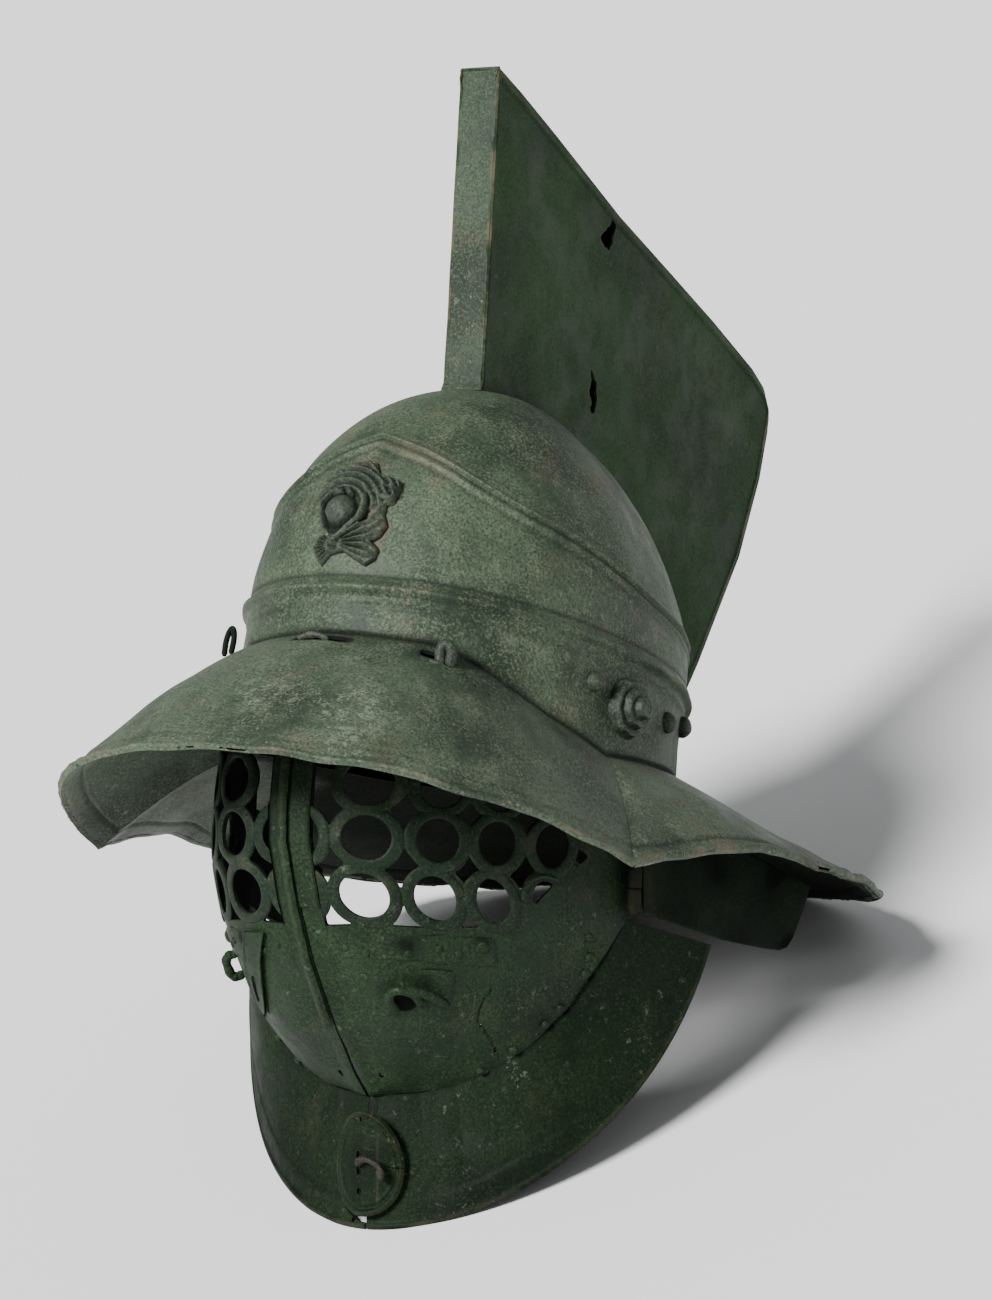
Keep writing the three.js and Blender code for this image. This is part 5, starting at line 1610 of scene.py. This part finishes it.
        self.shop.piece("tongue_hasp", Body.RIGHT, DARK_VISOR, hasp, ["hasp_right"], Side.RIGHT)
        z = np.linspace(-64.0, -170.0, 130)
        across = np.linspace(0, 1, 16)
        width = 0.3 + 4.4 * across
        lift = 0.65 + 2.0 * np.sin(np.pi * (0.15 + 0.7 * across)) + 0.12 * np.sin(z[:, None] * 0.8)
        points = self.skin.point(width / self.skin.edge_x(z)[:, None], z[:, None] + 0 * width, lift)
        marks = {"wear": np.broadcast_to(bell(across, 0.5, 0.25) * 0.5, lift.shape)}
        rib = sheet_arrays(Grid(points, marks=marks), 1.1, np.array([20.0, 30.0, -100.0]))
        self.shop.piece("seam_rib", Body.RIGHT, DARK_VISOR, rib, ["seam_rib_right"], Side.RIGHT)

    def build(self) -> None:
        """Sheets, rings, bands and fittings of both halves."""
        for side in Side:
            self.half(side)
            self.bands(side)
        self.fittings()


# Throat flanges, clasp and wings

@dataclass
class Flanges:
    """Curved throat flanges that sweep out from the visor's lower edge, and the clasp at the chin."""

    shop: Workshop
    skin: VisorSurface = field(default_factory=VisorSurface)
    half_width: float = 112.6
    height: float = 160.8
    power: float = 1.93
    slope: float = math.radians(72.2)
    chin_y: float = -4.5
    chin_z: float = -246.0
    bow: float = -10.2
    top_z: float = -107.5
    chin_forward: float = 6.0
    clasp_at: tuple = (0.8, -221.0)
    clasp_half: tuple = (16.5, 21.0)
    clasp_room: float = 1.5
    wrap: float = 0.55
    stand: float = 1.6
    keel: tuple = ((-246, -13.5), (-221, -21), (-195, -29.5))

    def rim(self, t: Array) -> Array:
        """Rim from the chin (t 0) up to its widest place (t 1).

        A superellipse quarter in a sloping plane, bowed a little and drawn forward at the chin.
        """
        a = np.clip(t, 0, 1) * np.pi / 2
        run = self.height * (1 - np.cos(a) ** (2 / self.power))
        bow = self.bow * np.sin(np.pi * run / self.height)
        y = (self.chin_y + run * math.cos(self.slope) - bow * math.sin(self.slope)
             - self.chin_forward * np.exp(-((t / 0.16) ** 2)))
        z = self.chin_z + run * math.sin(self.slope) + bow * math.cos(self.slope)
        return np.stack([self.half_width * np.sin(a) ** (2 / self.power), y, z], axis=-1)

    def arrays(self, side: Side) -> tuple:
        """Straight from the visor's edge to the rim, with waves and a raised rim.

        The right one is cut away round the clasp's disc, so that each half swings by itself.
        """
        fine = np.linspace(0, 1, 4000)
        end = float(np.interp(self.top_z, self.rim(fine)[:, 2], fine))
        s = spaced(0, (0.3, 110), (1, 150))
        z = self.skin.chin_z + (self.top_z - self.skin.chin_z) * (1 - np.cos(s * np.pi / 2)) ** 0.98
        root = np.stack([self.skin.edge_x(z) - 0.6, track(self.skin.edge, z) - 0.8,
                         z + 1.2 * (1 - s)], axis=-1)
        root[0, 0] = self.skin.seam
        rim = self.rim(s * end)
        v = spaced(0, (0.85, 66), (1, 22))
        points = root + (rim - root) * v[:, None, None]
        width = np.linalg.norm(rim - root, axis=-1)
        from_rim = (1 - v)[:, None] * width
        wave = 0.6 * ripple(points, 58.0, 91) + 0.2 * ripple(points, 21.0, 92) - 0.4
        away_from_chin = smooth(20.0, 34.0, points[..., 0])
        wave = wave * np.maximum(away_from_chin, 0.3) * smooth(0, 10, from_rim)
        wave = wave - 0.7 * bell(from_rim, 1.2, 1.2) - 0.35 * smooth(12.5, 10.5, from_rim)
        points[..., 1] += wave
        gap = 0.5 * smooth(-240, -228, points[..., 2]) + 2.1 * bell(points[..., 2], -196.5, 5.0)
        points[..., 0] = np.maximum(points[..., 0], self.skin.seam + gap)
        plane = points[..., [0, 2]]
        pins = [Hole(6.5, -242.5, 0.9, 1.4, 2.0, 0.4), Hole(31.0, -243.5, 0.9, 0.9)]
        holes = pins[:1] if side is Side.RIGHT else pins[1:]
        if side is Side.RIGHT:
            x, z0 = self.clasp_at
            holes = holes + [Hole(-x, z0, self.clasp_half[0] + self.clasp_room,
                                  self.clasp_half[1] + self.clasp_room)]
        points, keep = pierce(points, plane, holes)
        marks = {
            "dirt": np.clip(0.6 * smooth(0.05, 0.0, v)[:, None] + 0 * from_rim
                            + 0.25 * ripple(points, 60.0, 93), 0, 1),
            "wear": np.clip(bell(from_rim, 0.8, 1.6) * 0.6, 0, 1),
            "chalk": np.clip(smooth(12.5, 9.0, from_rim) * (0.07 if side is Side.RIGHT else 0.02), 0, 1),
        }
        return sheet_arrays(Grid(points, keep=keep, marks=marks), SHEET, np.array([0.0, 300.0, -150.0]))

    def clasp(self) -> None:
        """Dished disc over the chin seam with a raised edge, pierced, and its rusty bar."""
        x0, z0 = self.clasp_at
        a = np.linspace(2 * np.pi, 0, 150, endpoint=False)
        r = spaced(0, (0.82, 44), (1, 20))[:, None]
        x = x0 + self.clasp_half[0] * r * np.cos(a)
        z = z0 + self.clasp_half[1] * r * np.sin(a)
        fold = self.wrap * (np.sqrt(x * x + 36) - 6)
        lip = 1.5 * bell(r, 0.93, 0.05) * smooth(-6, 4, x) + 0.5 * bell(r, 0.78, 0.03)
        y = track(self.keel, z) + fold - self.stand - lip + 0 * r
        points = np.stack([x, y, z], axis=-1)
        points[..., 1] += 0.15 * ripple(points, 11.0, 95)
        holes = [Hole(0.5, -203.5, 1.0, 1.0), Hole(-1.0, -232.0, 1.1, 1.3),
                 Hole(-1.2, -220.8, 1.1, 4.6, 4.0)]
        plane = points[..., [0, 2]]
        points, keep = pierce(points, plane, holes)
        line = bell(x - 7.0, 0.0, 0.8) * smooth(-238, -234, z) * smooth(-206, -210, z)
        marks = {"wear": np.clip(bell(r, 0.95, 0.05) * 0.5 + 0.7 * line, 0, 1),
                 "dirt": np.clip(smooth(0.95, 0.3, r) * 0.45 + 0 * x, 0, 1)}
        arrays = self.open_disc(points, keep, marks)
        self.shop.piece("clasp_plate", Body.LEFT, THROAT, arrays, ["clasp_disc"])
        path = np.array([[0.4, -24.9, -221.0], [1.6, -25.6, -219.8], [6.0, -25.6, -220.2],
                         [10.0, -24.6, -222.2], [10.8, -23.2, -226.0]])
        bar = tube_arrays(curve(path, 8), 1.9 + 0.2 * np.sin(np.arange(33) * 0.7), flat=0.7)
        self.shop.piece("clasp_latch", Body.LEFT, RUST, bar, ["clasp_bar"])

    @staticmethod
    def open_disc(points: Array, keep: Array, marks: dict[str, Array]) -> tuple:
        """Disc body from an open grid, its last column repeated on the first so that it closes.

        Args:
            points: (rings, columns, 3) front of the disc.
            keep: faces kept, for the open grid.
            marks: marks for each vertex.

        Returns:
            Vertices, faces and marks.
        """
        wide = np.concatenate([points, points[:, :1]], axis=1)
        seam = np.ones((keep.shape[0], 1), bool)
        full = {key: np.concatenate([np.broadcast_to(value, points.shape[:2]),
                                     np.broadcast_to(value, points.shape[:2])[:, :1]], axis=1)
                for key, value in marks.items()}
        body = Grid(wide, keep=np.concatenate([keep, seam], axis=1), marks=full)
        vertices, faces, out = sheet_arrays(body, 1.2, np.array([0.0, 100.0, -221.0]))
        return vertices, faces, out

    def build(self) -> None:
        """Both flanges, then the clasp."""
        for side in Side:
            self.shop.piece(f"throat_flange_{side.word}", HALF[side], THROAT, self.arrays(side),
                            [f"flange_{side.word}"], side)
        self.clasp()


@dataclass
class Wings:
    """Flat plates under the neck guard behind the hinges, and the hinge barrels."""

    shop: Workshop
    end: tuple = (121.0, 93.0)
    thickness: float = 1.4
    under: tuple = ((-3.2, -64), (6.5, -105), (58, -103.5), (84, -100.5), (93, -99), (98, -96.5),
                    (101, -92), (106, -76), (108, -67))
    over: tuple = ((-3.2, -64), (32, -62), (72, -64), (108, -67))
    barrel_radius: float = 2.8
    barrel: tuple = (-105.0, -61.0)

    def plate(self) -> tuple:
        """Columns along the plate from the hinge, rows from its lower to its upper edge."""
        s = spaced(-3.2, (84, 110), (108, 60))
        low, high = track(self.under, s), track(self.over, s)
        v = spaced(0, (0.1, 8), (0.9, 34), (1, 8))[:, None]
        z = low + (high - low) * v
        way = np.array([self.end[0] - HINGE_PLACE[0], self.end[1] - HINGE_PLACE[1], 0.0])
        way = unit(way)
        out = np.array([way[1], -way[0], 0.0])
        foot = np.array([HINGE_PLACE[0], HINGE_PLACE[1], 0.0])
        points = foot + way * np.broadcast_to(s, z.shape)[..., None]
        points[..., 2] = z
        near = np.minimum(np.minimum(z - low, high - z), (108 - s) * 0.6)
        dent = 0.3 * ripple(points, 40.0, 97) - 0.35 * smooth(0.8, 0, near) + 1.4
        points += out * dent[..., None]
        strap = bell(np.broadcast_to(s, z.shape), 7.5, 5.0) * smooth(-107, -101, z) * smooth(-74, -82, z)
        line = bell(s - (z + 64.0) * -0.28 - 4.0, 0.0, 0.9)
        # The whole plate carries 0.35 of the near-black mark as painted shade under the neck guard; noise
        # adds grime, a slanted line near the hinge is darker, and the strap is left clear.
        marks = {"wear": np.clip(0.9 * strap + 0.3 * smooth(1.5, 0, near), 0, 1),
                 "dirt": np.clip(0.35 + 0.25 * ripple(points, 30.0, 98) + 0.4 * line - strap, 0, 1)}
        return sheet_arrays(Grid(points, marks=marks), self.thickness, np.array([0.0, 40.0, -80.0]))

    def barrel_arrays(self) -> tuple:
        """Knuckled barrel: a turned profile with four grooves, leaning with the hinge axis."""
        low, high = self.barrel
        z = np.linspace(low, high, 90)
        groove = sum(bell(z, low + (high - low) * k / 5.0, 0.45) for k in range(1, 5))
        y = HINGE_PLACE[1] - math.tan(WORN_LEAN) * (z - HINGE_PLACE[2])
        path = np.stack([np.full_like(z, HINGE_PLACE[0]), y, z], axis=-1)[2:-2]
        radius = (self.barrel_radius * (1.0 - 0.14 * groove))[2:-2]
        points, faces, _ = tube_arrays(path, radius, sides=20)
        rings = len(points) // 20
        marks = {"wear": np.full(len(points), 0.55),
                 "dirt": np.repeat(np.concatenate([[0, 0], groove[2:-2], [0, 0]])[:rings], 20) * 0.9}
        return points, faces, marks

    def build(self) -> None:
        """Both sides."""
        plate, barrel = self.plate(), self.barrel_arrays()
        for side in Side:
            # Wing plates and hinge barrels take the darkened bronze as painted shade under the neck
            # guard.
            self.shop.piece(f"wing_plate_{side.word}", Body.SHELL, DARK, plate,
                            [f"wing_{side.word}"], side)
            self.shop.piece(f"hinge_tube_{side.word}", Body.SHELL, DARK, barrel,
                            [f"hinge_barrel_{side.word}"], side)


# Floor, light and camera

@dataclass
class Studio:
    """Pale floor, soft lights and the photograph's camera."""

    helmet: HelmetFrame
    azimuth: float = math.radians(32.0)
    elevation: float = math.radians(-13.9)
    roll: float = math.radians(9.2)
    distance: float = 2300.0
    scale: float = 2.35
    centre: tuple = (471.0, 665.5)
    image: tuple = (992, 1300)
    sensor: float = 36.0

    def floor(self) -> None:
        """A wide flat floor that is no part of the helmet."""
        size = 9.0
        mesh = bpy.data.meshes.new("floor")
        corners = [(-size, -size, 0), (size, -size, 0), (size, size, 0), (-size, size, 0)]
        mesh.from_pydata(corners, [], [(0, 1, 2, 3)])
        pale = bpy.data.materials.new("pale_floor")
        pale.use_nodes = True
        shader = pale.node_tree.nodes["Principled BSDF"]
        shader.inputs["Base Color"].default_value = (0.9, 0.9, 0.9, 1.0)
        shader.inputs["Roughness"].default_value = 0.9
        shader.inputs["Specular IOR Level"].default_value = 0.1
        mesh.materials.append(pale)
        thing = bpy.data.objects.new("floor", mesh)
        bpy.context.scene.collection.objects.link(thing)
        thing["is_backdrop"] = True

    def sun(self, place: tuple, spread: float, strength: float) -> None:
        """Wide soft key light with parallel rays, from the given direction."""
        data = bpy.data.lights.new("key", "SUN")
        data.angle = math.radians(spread)
        data.energy = strength
        thing = bpy.data.objects.new("key", data)
        aim = [-value for value in place]
        thing.rotation_euler = Vector(aim).to_track_quat("-Z", "Y").to_euler()
        bpy.context.scene.collection.objects.link(thing)

    def world(self, strength: float) -> None:
        """Even pale light from all round."""
        world = bpy.data.worlds.new("studio")
        world.use_nodes = True
        back = world.node_tree.nodes["Background"]
        back.inputs["Color"].default_value = (0.97, 0.98, 1.0, 1.0)
        back.inputs["Strength"].default_value = strength
        bpy.context.scene.world = world

    def camera(self) -> None:
        """Camera found from the photograph, in the helmet frame, turned into the row frame.

        Its axes: right0 = (cos a, sin a, 0), back = (sin a cos e, -cos a cos e, sin e), up0 their
        product, then rolled. The lens follows from the distance and the picture's scale.
        """
        ca, sa = math.cos(self.azimuth), math.sin(self.azimuth)
        ce, se = math.cos(self.elevation), math.sin(self.elevation)
        right0 = np.array([ca, sa, 0.0])
        back = np.array([sa * ce, -ca * ce, se])
        up0 = np.cross(back, right0)
        cr, sr = math.cos(self.roll), math.sin(self.roll)
        right = cr * right0 + sr * up0
        up = -sr * right0 + cr * up0
        axes = [self.helmet.turn(axis) for axis in (right, up, back)]
        place = (self.helmet.turn(back * self.distance) + self.helmet.origin) * MM
        data = bpy.data.cameras.new("camera")
        data.sensor_fit = "VERTICAL"
        data.sensor_height = self.sensor
        data.lens = self.sensor * self.scale * self.distance / self.image[1]
        data.shift_x = (self.image[0] / 2 - self.centre[0]) / self.image[1]
        data.shift_y = (self.centre[1] - self.image[1] / 2) / self.image[1]
        data.clip_end = 60.0
        thing = bpy.data.objects.new("camera", data)
        matrix = np.eye(4)
        matrix[:3, :3] = np.stack(axes, axis=1)
        matrix[:3, 3] = place
        thing.matrix_world = Matrix(matrix.tolist())
        bpy.context.scene.collection.objects.link(thing)
        bpy.context.scene.camera = thing

    def build(self) -> None:
        """Floor, lights, camera."""
        self.floor()
        self.sun((-0.2, -1.0, 1.15), 18.0, 6.2)
        self.world(0.34)
        self.camera()


def main() -> None:
    """Loads the frame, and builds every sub-assembly."""
    logging.basicConfig(level=logging.INFO, format="%(name)s %(message)s")
    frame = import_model()
    cad_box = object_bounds()
    helmet = HelmetFrame.of(frame["joints"])
    shop = Workshop(helmet, np.array(cad_box, float))
    bowl = Bowl(shop)
    for part in (bowl, Brim(shop, bowl), Crest(shop, bowl), Ornaments(shop, bowl), BrowFittings(shop),
                 Visor(shop), Flanges(shop), Wings(shop), Studio(helmet)):
        part.build()
        LOG.info("built %s", type(part).__name__)


if __name__ == "__main__":
    main()
